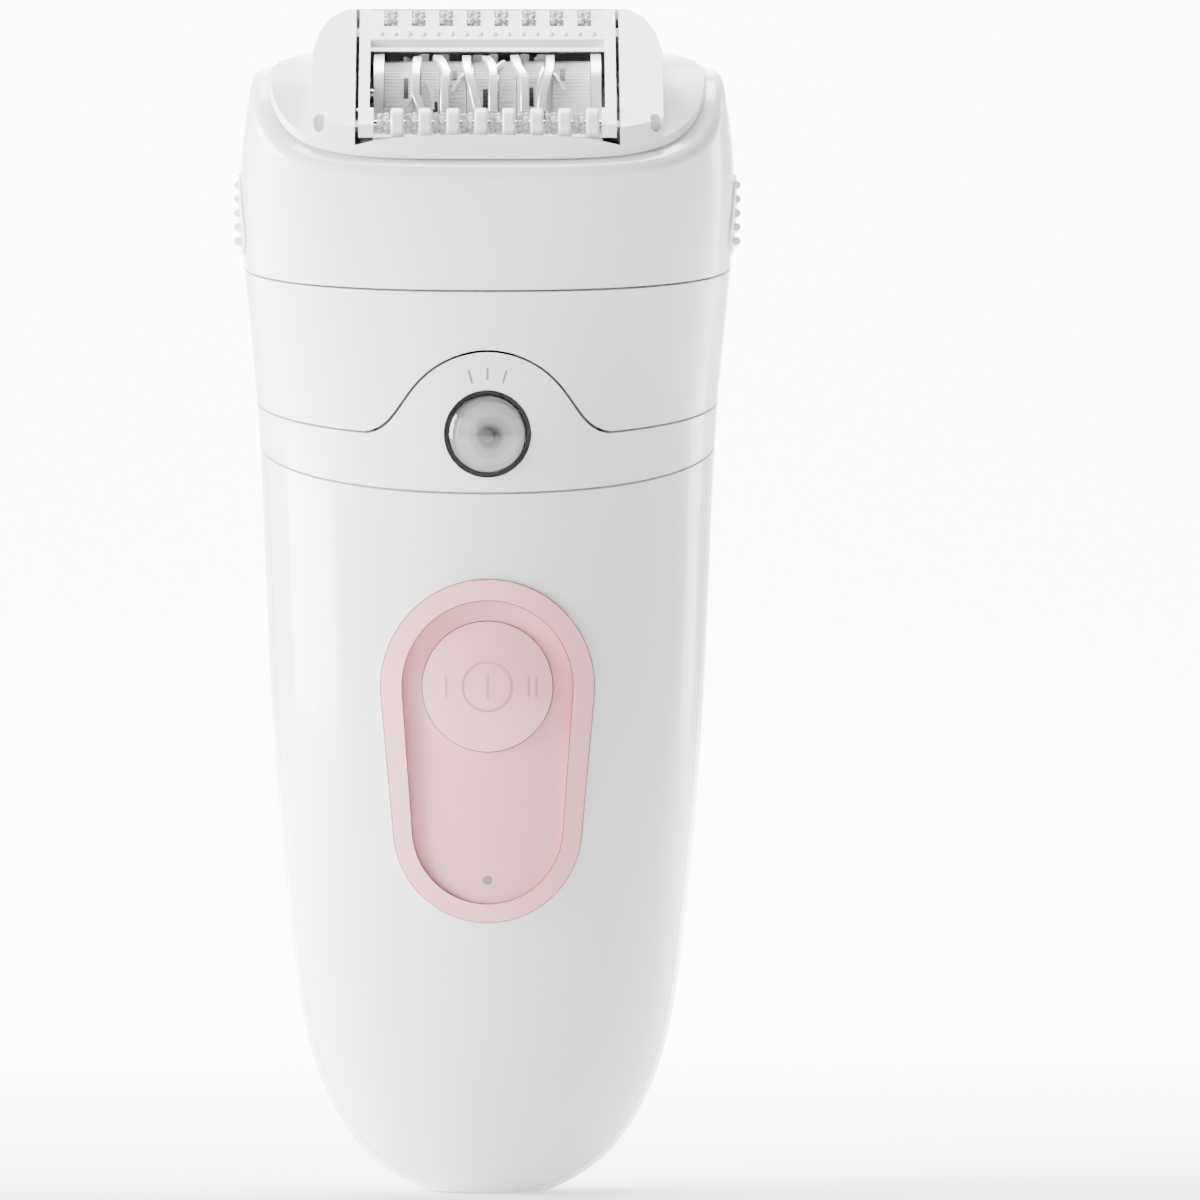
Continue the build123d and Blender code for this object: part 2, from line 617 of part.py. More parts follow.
def head_shell(shell):
    """Upper ring of the head, with the rim that frames the cap and the two button windows."""
    crown = skin_solid() & under_rim() & above(SKIRT_SEAM, SEAM_GAP / 2)
    rim = [e for e in crown.edges() if e.center().Z > 118 and e.length > 100]
    crown = crown.fillet(1.7, rim)
    crown -= skin_solid(WALL, 40.0) & under_rim(3.0)
    crown -= skin_solid(RIM_WALL, 40.0)
    for side in (-1, 1):
        crown -= release_window(side, 0.25)
    return crown


def release_button(side):
    """Ribbed push pad with an inner block and a latch arm that reaches down to the deck."""
    pad = release_window(side, 0) & (skin_solid(-0.25, 90.0) - skin_solid(WALL - 0.1, 90.0))
    pitch = RELEASE_SIZE[1] / (RELEASE_RIBS + 0.6)
    for i in range(RELEASE_RIBS):
        z = RELEASE_Z + (i - (RELEASE_RIBS - 1) / 2) * pitch
        rib = rod((side * 30.45, RELEASE_Y - 5.2, z), (side * 30.45, RELEASE_Y + 5.2, z), 0.5)
        pad = pad.fuse(rib)
    inner = sorted((side * 23.8, side * 28.7))
    arm = sorted((side * 23.8, side * 25.3))
    pad = pad.fuse(box(inner, (RELEASE_Y - 4, RELEASE_Y + 4), (RELEASE_Z - 3, RELEASE_Z + 3)))
    pad = pad.fuse(box(arm, (RELEASE_Y - 3, RELEASE_Y + 3), (101, RELEASE_Z)))
    nose = sorted((side * 22.9, side * 23.9))
    return pad.fuse(box(nose, (RELEASE_Y - 3, RELEASE_Y + 3), (101, 102.4)))


def release_spring(side):
    """Coil spring between the side plate and the button."""
    radius, wire, turns, length = 2.0, 0.28, 4, 3.8
    start = Plane(origin=(side * (SIDE_PLATE_X[1] + 0.3), RELEASE_Y, RELEASE_Z), z_dir=(side, 0, 0))
    path = start.location * Helix(pitch=length / turns, height=length, radius=radius)
    section = Plane(origin=path @ 0, z_dir=path % 0) * Circle(wire)
    return sweep(section, path=path, is_frenet=True)


def head_chassis():
    """Slanted ring plate with the two side plates that carry the drum and the idler."""
    seam = (113.2, 0.20)
    plate = skin_solid(WALL + 0.05, 90.0) & above(seam) & below(seam, 2.0)
    plate -= box((12.0, SIDE_PLATE_X[0] + 0.1), (-15.5, 13.0), (90, 140))
    plate -= box((-12.0, 12.0), (-15.5, 10.0), (90, 140))
    for side in (-1, 1):
        plate -= box(sorted((side * 21.9, side * 30)), (RELEASE_Y - 7.8, RELEASE_Y + 7.8), (90, 140))
    y, z = DRUM_AXIS
    for side in (-1, 1):
        x = sorted((side * SIDE_PLATE_X[0], side * SIDE_PLATE_X[1]))
        cheek = box(x, (y - 5.6, y + 13.0), (108.6, z - 3.0)).fuse(box(x, (y - 5.6, y + 5.6), (108.6, z))).fuse(rod((x[0], y, z), (x[1], y, z), 5.6))
        plate = plate.fuse(cheek)
        plate -= rod((x[0] - 1, y, z), (x[1] + 1, y, z), 2.6)
    for x, y in head_screw_places():
        plate -= rod((x, y, 100), (x, y, 130), 0.8)
    return plate - rod((12, *IDLER_AXIS), (20, *IDLER_AXIS), AXLE_RADIUS)


def shaft_bushes():
    y, z = DRUM_AXIS
    bushes = []
    for side in (-1, 1):
        x = sorted((side * (SIDE_PLATE_X[0] - 0.2), side * SIDE_PLATE_X[1]))
        tube = rod((x[0], y, z), (x[1], y, z), 2.6)
        bushes.append(tube - rod((x[0] - 1, y, z), (x[1] + 1, y, z), SHAFT_RADIUS + RUNNING))
    return Compound(children=bushes)


def idler_axle():
    return rod((13.0, *IDLER_AXIS), (SIDE_PLATE_X[1], *IDLER_AXIS), AXLE_RADIUS)


def idler_gear():
    wheel = gear(IDLER_TEETH, IDLER_AXIS, GEAR_X, IDLER_PHASE, AXLE_RADIUS + RUNNING)
    for i in range(5):
        angle = 2 * math.pi * i / 5
        y, z = IDLER_AXIS[0] + 5.6 * math.cos(angle), IDLER_AXIS[1] + 5.6 * math.sin(angle)
        wheel -= rod((GEAR_X[0], y, z), (GEAR_X[1], y, z), 2.0)
    return wheel


def closing_cam():
    """Fixed cam beside the drum that pushes the actuator rods as they pass."""
    y, z = DRUM_AXIS
    x = (-SIDE_PLATE_X[0], -16.0)
    ring = rod((x[0], y, z), (x[1], y, z), 5.6) - rod((x[0], y, z), (x[1], y, z), 3.2)
    low, high = math.radians(60), math.radians(200)
    reach = 12
    fan = [(y, z)] + [(y + reach * math.cos(a), z + reach * math.sin(a))
                      for a in [low + (high - low) * i / 4 for i in range(5)]]
    return ring & side_prism(fan, *x)


# ---------------------------------------------------------------- drum
def drum_shaft():
    end = SIDE_PLATE_X[1] - 0.1
    return rod((-end, *DRUM_AXIS), (end, *DRUM_AXIS), SHAFT_RADIUS)


def drum_gear():
    wheel = gear(DRUM_TEETH, DRUM_AXIS, GEAR_X, DRUM_PHASE, SHAFT_RADIUS)
    y, z = DRUM_AXIS
    hub = rod((DISC_X[1] + 0.02, y, z), (GEAR_X[0], y, z), 3.0)
    return wheel.fuse(hub - rod((10, y, z), (20, y, z), SHAFT_RADIUS))


def row_positions():
    """X of each tweezer row."""
    return BLADE_ROW_X


def actuator_angles():
    return [math.radians(45 + 90 * i) for i in range(4)]


def bored_for_drum(solid, x):
    """Cuts the shaft bore and the actuator bores through a drum part."""
    y, z = DRUM_AXIS
    solid -= rod((x[0] - 1, y, z), (x[1] + 1, y, z), SHAFT_RADIUS)
    for angle in actuator_angles():
        ay, az = y + 4.0 * math.cos(angle), z + 4.0 * math.sin(angle)
        solid -= rod((x[0] - 1, ay, az), (x[1] + 1, ay, az), 0.72)
    return solid


def drum_discs():
    y, z = DRUM_AXIS
    discs = []
    for side in (-1, 1):
        x = sorted((side * DISC_X[0], side * DISC_X[1]))
        discs.append(bored_for_drum(rod((x[0], y, z), (x[1], y, z), DRUM_RADIUS), x))
    return Compound(children=discs)


def drum_segments():
    """Plastic spacers between the tweezer rows."""
    y, z = DRUM_AXIS
    half = BLADE_THICKNESS / 2 + 0.02
    rows = row_positions()
    starts = [-DISC_X[0] + 0.02] + [x + half for x in rows]
    ends = [x - half for x in rows] + [DISC_X[0] - 0.02]
    wheels = tweezer_wheels().solids()
    segments = []
    for i, (a, b) in enumerate(zip(starts, ends)):
        segment = bored_for_drum(rod((a, y, z), (b, y, z), SEGMENT_RADIUS), (a, b))
        for wheel in wheels[max(i - 1, 0):i + 1]:
            segment -= wheel
        segments.append(segment)
    return Compound(children=segments)


def tweezer_wheels():
    """One spring-steel wheel per row: a hub plate with four pinching pairs standing out of it."""
    y, z = DRUM_AXIS
    thick = BLADE_THICKNESS
    wheels = []
    for row, x in enumerate(row_positions()):
        wheel = rod((x - thick / 2, y, z), (x + thick / 2, y, z), SEGMENT_RADIUS - 0.6)
        for i in range(BLADES_PER_ROW):
            turn = 360 * i / BLADES_PER_ROW + BLADE_TURN[row]
            lean = 1 if row % 2 else -1
            wheel = wheel.fuse(blade_pair(x, turn, lean, thick))
        wheel = bored_for_drum(wheel, (x - 1, x + 1))
        wheels.append(wheel & rod((x - 3, y, z), (x + 3, y, z), DRUM_RADIUS))
    return Compound(children=wheels)


BLADE_TURN = [38, 62, 30, 50, 66, 34]      # where each row's first pair stands, in degrees


def blade_pair(x, turn, lean, thick):
    """A straight blade that bends aside, and the thinner blade that it pinches."""
    y, z = DRUM_AXIS
    outer = DRUM_RADIUS + 1
    low = SEGMENT_RADIUS - 1.5
    main = [(-thick / 2, 3.4), (thick / 2, 3.4), (thick / 2, -0.4),
            (lean * 1.1 + thick / 2, -3.6), (lean * 1.1 - thick / 2, -3.6), (-thick / 2, -0.4)]
    thin = [(-lean * 0.2, 0.2), (-lean * 0.55, 0.2), (-lean * 1.35, -1.9), (-lean * 1.35, -3.4),
            (-lean * 1.05, -3.4), (-lean * 1.05, -1.9)]
    solids = []
    for outline in (main, thin):
        flat = Polyline(*[(px, -pt, low) for px, pt in outline], close=True)
        solids.append(swept(flat, Vector(0, 0, outer - low)))
    pair = solids[0].fuse(solids[1])
    return Pos(x, y, z) * Rot(turn - 90 + 180, 0, 0) * Rot(180, 0, 0) * pair


def actuator_rods():
    """Four push rods through the drum that close the tweezers."""
    y, z = DRUM_AXIS
    return Compound(children=[
        rod((-15.5, y + 4.0 * math.cos(a), z + 4.0 * math.sin(a)),
            (DISC_X[1] - 0.1, y + 4.0 * math.cos(a), z + 4.0 * math.sin(a)), 0.7)
        for a in actuator_angles()])


# ---------------------------------------------------------------- cap
def cheek_outline(inset):
    """Side profile of the cap's raised part."""
    y0, z0 = face_point(-12.9, 0.7 - inset)
    y1, z1 = face_point(11.6, 0.7 - inset)
    return [(y0 + inset, 118.0), (y0 + inset, z0 + inset * 0.5), (y1, z1), (2.5 - inset * 0.5, 144.9 - inset),
            (13.2 - inset, 139.0 - inset), (13.2 - inset, 118.0)]


def lift_prism(inset):
    """Outline of the rim's opening, moved inwards by inset and run along the way the cap lifts off."""
    top, bottom = 150.0, 112.0
    outline = skin_wire(138.0, inset).moved(Location((0, CAP_LEAN * (top - 138.0), top - 138.0)))
    return swept(outline, Vector(0, CAP_LEAN * (bottom - top), bottom - top))


def cap_housing():
    """Cheeks, wings and a skirt that plugs into the rim, open in the middle for the roller frame."""
    profile = side_face(cheek_outline(0), -CHEEK_HALF_WIDTH)
    corners = [v for v in profile.vertices() if v.Z > 127]
    cheek = Solid.extrude(profile.fillet_2d(2.0, corners), Vector(2 * CHEEK_HALF_WIDTH, 0, 0))
    sides = [(-21.3, 118), (-21.3, 139.5), (-20.5, 141.9), (-19.2, 143.8), (-17.0, 145.0),
             (17.0, 145.0), (19.2, 143.8), (20.5, 141.9), (21.3, 139.5), (21.3, 118)]
    cheek &= front_prism(sides)
    wing_top = [(-27, 110), (-27, 136.9), (-24.6, 138.5), (-22.6, 139.3), (-21, 139.9),
                (21, 139.9), (22.6, 139.3), (24.6, 138.5), (27, 136.9), (27, 110)]
    wing = (skin_solid(WING_INSET, 90.0) & under_rim(-1.6) & front_prism(wing_top)) - under_rim(-SEAM_GAP)
    wing_hollow = skin_solid(WING_INSET + 1.6, 90.0)
    outer, inner = lift_prism(RIM_WALL + 0.35), lift_prism(RIM_WALL + 2.0)
    skirt = (outer & under_rim(-SEAM_GAP - 0.5)) - inner - under_rim(4.2)
    cap = (cheek & skin_solid(WING_INSET, 90.0)) - under_rim(-SEAM_GAP)
    cap = cap.fuse(wing - (wing_hollow & under_rim(0.2)), skirt)
    cap -= side_prism(cheek_outline(1.6), -19.75, 19.75)
    cap -= face_box((-FRAME_HALF_WIDTH - SLIT, FRAME_HALF_WIDTH + SLIT), (-12.6, 12.3), (-40, 10))
    for side in (-1, 1):
        for z in (129.8, 130.2, 130.6):
            cap -= rod((side * 20.1, -20.0, z), (side * 21.4, -24.0, z), 0.7)
    return max(cap.solids(), key=lambda solid: solid.volume)


def bar_prism(points, x_low, x_high):
    """Prism along X over a closed (u, w) polygon on the working face."""
    return side_prism([face_point(u, w) for u, w in points], x_low, x_high)


def roller_centres(first):
    return [first + ROLLER_PITCH * i for i in range(ROLLER_COUNT)]


def post_centres():
    """Posts that stand between the front rollers."""
    return [x + ROLLER_PITCH / 2 for x in roller_centres(FRONT_ROLLER_X)]


def roller_frame():
    """Window frame that carries both roller rows, with side rails and four snap lugs."""
    half = FRAME_HALF_WIDTH
    inner = WINDOW_HALF_WIDTH + 0.3
    u_front, u_rear = -ROW_OFFSET, ROW_OFFSET
    bar_half = inner - 0.4
    front_bar = [(-12.3, -1.5), (-11.9, -0.9), (-7.7, -1.4), (-7.7, -2.6), (-11.2, -2.9)]
    frame = bar_prism(front_bar, -bar_half, bar_half)
    frame -= rod((-inner, *face_point(u_front, 0)), (inner, *face_point(u_front, 0)), POST_RADIUS - 0.1)
    frame = frame.fuse(bar_prism([
        (11.9, -0.6), (11.3, 0.6), (5.7, 0.6), (5.1, 0.05), (5.0, -0.2), (4.75, -0.2), (4.7, 0.1),
        (4.1, 0.1), (4.1, -0.1), (6.6, -1.2), (7.6, -2.6), (11.9, -3.0)], -half, half))
    for side in (-1, 1):
        rail = sorted((side * inner, side * half))
        frame = frame.fuse(face_box(rail, (-9.3, 11.5), (-2.2, 0.6)))
        block = [(-12.1, -0.3), (-11.2, 1.0), (-8.0, 1.0), (-8.0, -2.2), (-9.4, -2.2)]
        frame = frame.fuse(bar_prism(block, *sorted((side * (inner - 0.5), side * half))))
        lug = sorted((side * half, side * (half + 2.2)))
        frame = frame.fuse(face_box(lug, (-8.9, -7.7), (-2.2, -1.3)))
        frame = frame.fuse(face_box(lug, (8.6, 10.2), (-2.4, -1.3)))
    for x in post_centres():
        post = rod((x - POST_WIDTH / 2, *face_point(u_front, 0)), (x + POST_WIDTH / 2, *face_point(u_front, 0)),
                   POST_RADIUS)
        frame = frame.fuse(post.fillet(0.35, post.edges().filter_by(GeomType.CIRCLE)))
    for x in roller_centres(REAR_ROLLER_X):
        wide = (x - ROLLER_WIDTH / 2 - 0.15, x + ROLLER_WIDTH / 2 + 0.15)
        pocket = rod((wide[0], *face_point(u_rear, 0)), (wide[1], *face_point(u_rear, 0)), ROLLER_RADIUS + 0.35)
        frame -= pocket.fuse(face_box(wide, (u_rear - 1.5, u_rear + 1.5), (0, 3)))
    for u in (u_front, u_rear):
        frame -= rod((-inner - 0.1, *face_point(u, 0)), (inner + 0.1, *face_point(u, 0)), ROLLER_AXLE_RADIUS)
    return frame


def roller_axle(u):
    return rod((-14.3, *face_point(u, 0)), (14.3, *face_point(u, 0)), ROLLER_AXLE_RADIUS)


def rollers(first, u):
    """One row of studded rollers, as separate solids."""
    y, z = face_point(u, 0)
    row = []
    for x in roller_centres(first):
        ends = (x - ROLLER_WIDTH / 2, x + ROLLER_WIDTH / 2)
        roller = rod((ends[0], y, z), (ends[1], y, z), ROLLER_RADIUS - 0.45)
        for offset, turn in ((-0.38, 0), (0.38, 30)):
            for i in range(6):
                angle = math.radians(60 * i + turn)
                knob = Solid.make_sphere(0.42, angle1=-90, angle2=90)
                reach = ROLLER_RADIUS - 0.42
                roller = roller.fuse(Pos(x + offset, y + reach * math.cos(angle), z + reach * math.sin(angle)) * knob)
        row.append(roller & rod((ends[0], y, z), (ends[1], y, z), ROLLER_RADIUS))
    bore = rod((-20, y, z), (20, y, z), ROLLER_AXLE_RADIUS + RUNNING)
    return Compound(children=[roller - bore for roller in row])


# ---------------------------------------------------------------- fasteners
def shell_screw_places():
    return [(-9.0, 19.0), (9.0, 19.0)]


def shell_screws():
    screws = []
    for x, z in shell_screw_places():
        head = rod((x, 9.0, z), (x, 10.3, z), 2.1) - box((x - 2, x + 2), (9.8, 11), (z - 0.3, z + 0.3))
        screws.append(head.fuse(rod((x, -2, z), (x, 9.0, z), 1.1)))
    return Compound(children=screws)


def add_shell_bosses(front, rear):
    """Bosses that the two shell screws clamp together."""
    for x, z in shell_screw_places():
        boss = rod((x, -FAR, z), (x, 5.9, z), 2.6) & skin_solid(WALL - 0.2, 5.0)
        front = front.fuse(boss) - rod((x, -2, z), (x, 6, z), 1.1)
        seat = rod((x, 6.0, z), (x, FAR, z), 3.3) & skin_solid(WALL - 0.2, 5.0)
        rear = rear.fuse(seat) - rod((x, 5, z), (x, 9, z), 1.1) - rod((x, 9, z), (x, FAR, z), 2.3)
    return front, rear


def head_screw_places():
    return [(-8.0, -17.8), (8.0, -17.8), (-8.0, 14.6), (8.0, 14.6)]


def head_seat_z(y):
    """Height of the top of the head plate at y."""
    return 115.2 + 0.20 * y


def head_screws():
    screws = []
    for x, y in head_screw_places():
        z = head_seat_z(y) + 0.35
        screws.append(rod((x, y, z), (x, y, z + 1.1), 1.5).fuse(rod((x, y, z - 5), (x, y, z), 0.8)))
    return Compound(children=screws)


def main():
    os.makedirs("parts", exist_ok=True)
    shell = housing()
    front, rear = add_shell_bosses(*handle_shells(shell))
    parts = {
        "front_shell": front,
        "rear_shell": rear,
        "light_collar": light_collar(shell),
        "head_skirt": head_skirt(shell),
        "head_shell": head_shell(shell),
        "lamp_bezel": lamp_bezel(),
        "lamp_lens": lamp_lens(),
        "lamp_led": lamp_led(),
        "switch_surround": switch_surround(),
        "switch_panel": switch_panel(),
        "power_button": power_button(),
        "indicator_pipe": indicator_pipe(),
        "circuit_board": circuit_board(),
        "board_parts": board_parts(),
        "tact_switch": tact_switch(),
        "motor_can": motor_can(),
        "motor_end_cap": motor_end_cap(),
        "motor_shaft": motor_shaft(),
        "motor_pinion": motor_pinion(),
        "relay_gear": relay_gear(),
        "relay_axle": relay_axle(),
        "drive_chassis": drive_chassis(),
        "chassis_screws": chassis_screws(),
        "coupling_deck": coupling_deck(),
        "deck_seal": deck_seal(),
        "power_inlet": power_inlet(),
        "inlet_pins": inlet_pins(),
        "inlet_leads": inlet_leads(),
        "motor_leads": motor_leads(),
        "release_button_left": release_button(-1),
        "release_button_right": release_button(1),
        "release_spring_left": release_spring(-1),
        "release_spring_right": release_spring(1),
        "head_chassis": head_chassis(),
        "shaft_bushes": shaft_bushes(),
        "idler_axle": idler_axle(),
        "idler_gear": idler_gear(),
        "closing_cam": closing_cam(),
        "drum_shaft": drum_shaft(),
        "drum_gear": drum_gear(),
        "drum_discs": drum_discs(),
        "drum_segments": drum_segments(),
        "tweezer_wheels": tweezer_wheels(),
        "actuator_rods": actuator_rods(),
        "cap_housing": cap_housing(),
        "roller_frame": roller_frame(),
        "front_roller_axle": roller_axle(-ROW_OFFSET),
        "rear_roller_axle": roller_axle(ROW_OFFSET),
        "front_rollers": rollers(FRONT_ROLLER_X, -ROW_OFFSET),
        "rear_rollers": rollers(REAR_ROLLER_X, ROW_OFFSET),
        "shell_screws": shell_screws(),
        "head_screws": head_screws(),
    }
    for name, solid in parts.items():
        export_step(solid, f"parts/{name}.step")


main()
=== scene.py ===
"""Looks for the epilator: materials, fine surface pieces, floor, light and camera.

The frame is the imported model's: +Z up the handle, front facing -Y. Lengths are metres, and a table or
constant in millimetres says so and is multiplied by MM where it is used.
"""
import bpy
import bmesh
import math
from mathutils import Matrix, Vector


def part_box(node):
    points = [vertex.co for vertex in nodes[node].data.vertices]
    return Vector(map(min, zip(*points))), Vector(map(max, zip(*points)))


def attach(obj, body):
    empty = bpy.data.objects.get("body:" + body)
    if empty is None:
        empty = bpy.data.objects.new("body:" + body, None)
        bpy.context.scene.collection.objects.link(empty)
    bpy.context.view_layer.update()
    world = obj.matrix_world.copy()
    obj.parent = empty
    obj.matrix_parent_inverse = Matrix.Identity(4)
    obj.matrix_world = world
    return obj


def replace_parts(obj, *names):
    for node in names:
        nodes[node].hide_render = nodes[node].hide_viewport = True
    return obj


MM = 0.001
CLEAR_OF_ALL = 0.1         # a ray that starts this far from the axis starts outside the object
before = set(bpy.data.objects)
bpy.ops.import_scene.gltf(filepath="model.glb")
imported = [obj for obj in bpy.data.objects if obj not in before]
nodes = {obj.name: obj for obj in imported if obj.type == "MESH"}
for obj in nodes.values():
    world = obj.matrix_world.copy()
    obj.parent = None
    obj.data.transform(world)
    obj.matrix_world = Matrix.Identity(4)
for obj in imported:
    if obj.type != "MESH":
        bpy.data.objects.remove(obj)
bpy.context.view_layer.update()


# ---------------------------------------------------------------- materials
COAT_ROUGHNESS = 0.08
SMOOTHEST = 0.02           # lowest roughness that the noise may reach
RELIEF_DEPTH = 0.0002
NOISE_SHOULDERS = (0.3, 0.7)     # noise values where the darker and the lighter tint are reached


def shader(name, colour, rough, metallic=0.0, coat=0.0, transmission=0.0, ior=1.45, vary=0.03,
           vary_scale=90.0, rough_vary=0.04, bump=0.02, bump_scale=900.0, stretch=(1, 1, 1)):
    """Principled material whose colour, roughness and relief come from fine noise."""
    mat = bpy.data.materials.new(name)
    mat.use_nodes = True
    tree = mat.node_tree
    bsdf = tree.nodes["Principled BSDF"]
    bsdf.inputs["Metallic"].default_value = metallic
    bsdf.inputs["Coat Weight"].default_value = coat
    bsdf.inputs["Coat Roughness"].default_value = COAT_ROUGHNESS
    bsdf.inputs["Transmission Weight"].default_value = transmission
    bsdf.inputs["IOR"].default_value = ior
    coords = tree.nodes.new("ShaderNodeTexCoord")
    mapping = tree.nodes.new("ShaderNodeMapping")
    mapping.inputs["Scale"].default_value = stretch
    tree.links.new(coords.outputs["Object"], mapping.inputs["Vector"])

    def noise(scale, detail=3.0):
        node = tree.nodes.new("ShaderNodeTexNoise")
        node.inputs["Scale"].default_value = scale
        node.inputs["Detail"].default_value = detail
        tree.links.new(mapping.outputs["Vector"], node.inputs["Vector"])
        return node

    broad = noise(vary_scale)
    ramp = tree.nodes.new("ShaderNodeValToRGB")
    dark, light = ramp.color_ramp.elements
    dark.position, light.position = NOISE_SHOULDERS
    dark.color = (*[c * (1 - vary) for c in colour], 1)
    light.color = (*[min(1, c * (1 + vary)) for c in colour], 1)
    tree.links.new(broad.outputs["Fac"], ramp.inputs["Fac"])
    tree.links.new(ramp.outputs["Color"], bsdf.inputs["Base Color"])
    spread = tree.nodes.new("ShaderNodeMapRange")
    spread.inputs["To Min"].default_value = max(SMOOTHEST, rough - rough_vary)
    spread.inputs["To Max"].default_value = rough + rough_vary
    tree.links.new(broad.outputs["Fac"], spread.inputs["Value"])
    tree.links.new(spread.outputs["Result"], bsdf.inputs["Roughness"])
    relief = tree.nodes.new("ShaderNodeBump")
    relief.inputs["Strength"].default_value = bump
    relief.inputs["Distance"].default_value = RELIEF_DEPTH
    tree.links.new(noise(bump_scale, 2.0).outputs["Fac"], relief.inputs["Height"])
    tree.links.new(relief.outputs["Normal"], bsdf.inputs["Normal"])
    return mat


WHITE = shader("white_gloss", (0.80, 0.795, 0.80), 0.24, coat=0.7, vary=0.012, vary_scale=25, bump=0.02)
SATIN = shader("white_satin", (0.80, 0.795, 0.80), 0.33, coat=0.15, vary=0.015, vary_scale=40, bump=0.04)
FRAME_WHITE = shader("frame_white", (0.76, 0.76, 0.765), 0.28, coat=0.2, vary=0.02, bump=0.03)
RIM_PINK = shader("soft_pink_rim", (0.80, 0.385, 0.42), 0.42, coat=0.1, vary=0.015, vary_scale=60,
                  bump=0.08, bump_scale=2600)
PANEL_PINK = shader("panel_pink", (0.76, 0.365, 0.42), 0.30, coat=0.25, vary=0.015, vary_scale=60,
                    bump=0.03)
KEY_PINK = shader("key_pink", (0.77, 0.38, 0.42), 0.28, coat=0.3, vary=0.012, vary_scale=60, bump=0.03)
MARK_GREY = shader("mark_grey", (0.20, 0.20, 0.21), 0.5, vary=0.06, bump=0.03)
MARK_PINK = shader("mark_rose", (0.50, 0.29, 0.32), 0.5, vary=0.05, bump=0.03)
# near-black, used only for painted shade in the drum's slots
PAINTED_SLOT_SHADE = shader("painted_gap_shade", (0.025, 0.025, 0.027), 0.55, vary=0.2, bump=0.1)
BLADE = shader("blade_steel", (0.84, 0.84, 0.85), 0.24, metallic=0.45, vary=0.04, vary_scale=700, bump=0.03)
STEEL = shader("bright_steel", (0.62, 0.62, 0.63), 0.20, metallic=1.0, vary=0.06, vary_scale=700,
               rough_vary=0.07, bump=0.06, bump_scale=2200, stretch=(1, 1, 8))
INNER_STEEL = shader("zinc_steel", (0.50, 0.50, 0.52), 0.36, metallic=1.0, vary=0.08, bump=0.08)
BRASS = shader("brass_pin", (0.72, 0.53, 0.25), 0.28, metallic=1.0, vary=0.06, bump=0.04)
LENS = shader("clear_lens", (0.96, 0.97, 0.975), 0.04, transmission=0.97, coat=0.6, vary=0.005,
              rough_vary=0.01, bump=0.004, ior=1.46)
CLEAR = shader("clear_roller", (0.80, 0.82, 0.83), 0.14, transmission=0.55, coat=0.4, vary=0.03, bump=0.02)
DRUM_PLASTIC = shader("drum_plastic", (0.66, 0.66, 0.67), 0.34, vary=0.04, bump=0.05, coat=0.1)
DISC = shader("drum_disc", (0.72, 0.72, 0.73), 0.25, metallic=0.35, vary=0.04, bump=0.03)
GEAR_PLASTIC = shader("gear_acetal", (0.74, 0.73, 0.69), 0.42, vary=0.03, bump=0.05)
CHASSIS = shader("chassis_nylon", (0.34, 0.35, 0.37), 0.5, vary=0.05, bump=0.15, bump_scale=1600)
SEAL = shader("seal_rubber", (0.06, 0.06, 0.065), 0.6, vary=0.1, bump=0.15)
BOARD = shader("board_green", (0.03, 0.19, 0.09), 0.35, vary=0.15, vary_scale=500, bump=0.1, coat=0.3)
LAMP_DIE = shader("lamp_die", (0.10, 0.10, 0.105), 0.3, vary=0.08)
# satin reflector material; its colour is replaced by painted reflection rings and a painted highlight
REFLECTOR_PAINTED_LIGHT = shader("lamp_reflector_satin_painted_light", (0.7, 0.7, 0.71), 0.32, metallic=0.1, vary=0.02, bump=0.02)
BEZEL = shader("bezel_dark_chrome", (0.16, 0.165, 0.17), 0.22, metallic=1.0, vary=0.05, bump=0.01)
CHIP = shader("chip_black", (0.035, 0.035, 0.04), 0.4, vary=0.2, bump=0.1)

# Painted reflection on the lamp's reflector: grey rings and a brighter lower left stand in for light in the
# bowl
TOWARDS_LOWER_LEFT = (-0.7, 0, -0.7)
PAINTED_HIGHLIGHT_SCALES = (0.55, 1.15)  # how far the painted grey is scaled at the upper right and at the lower left, a painted highlight towards the lower left
COOL_CAST = 1.01           # blue over red in a painted reflection ring


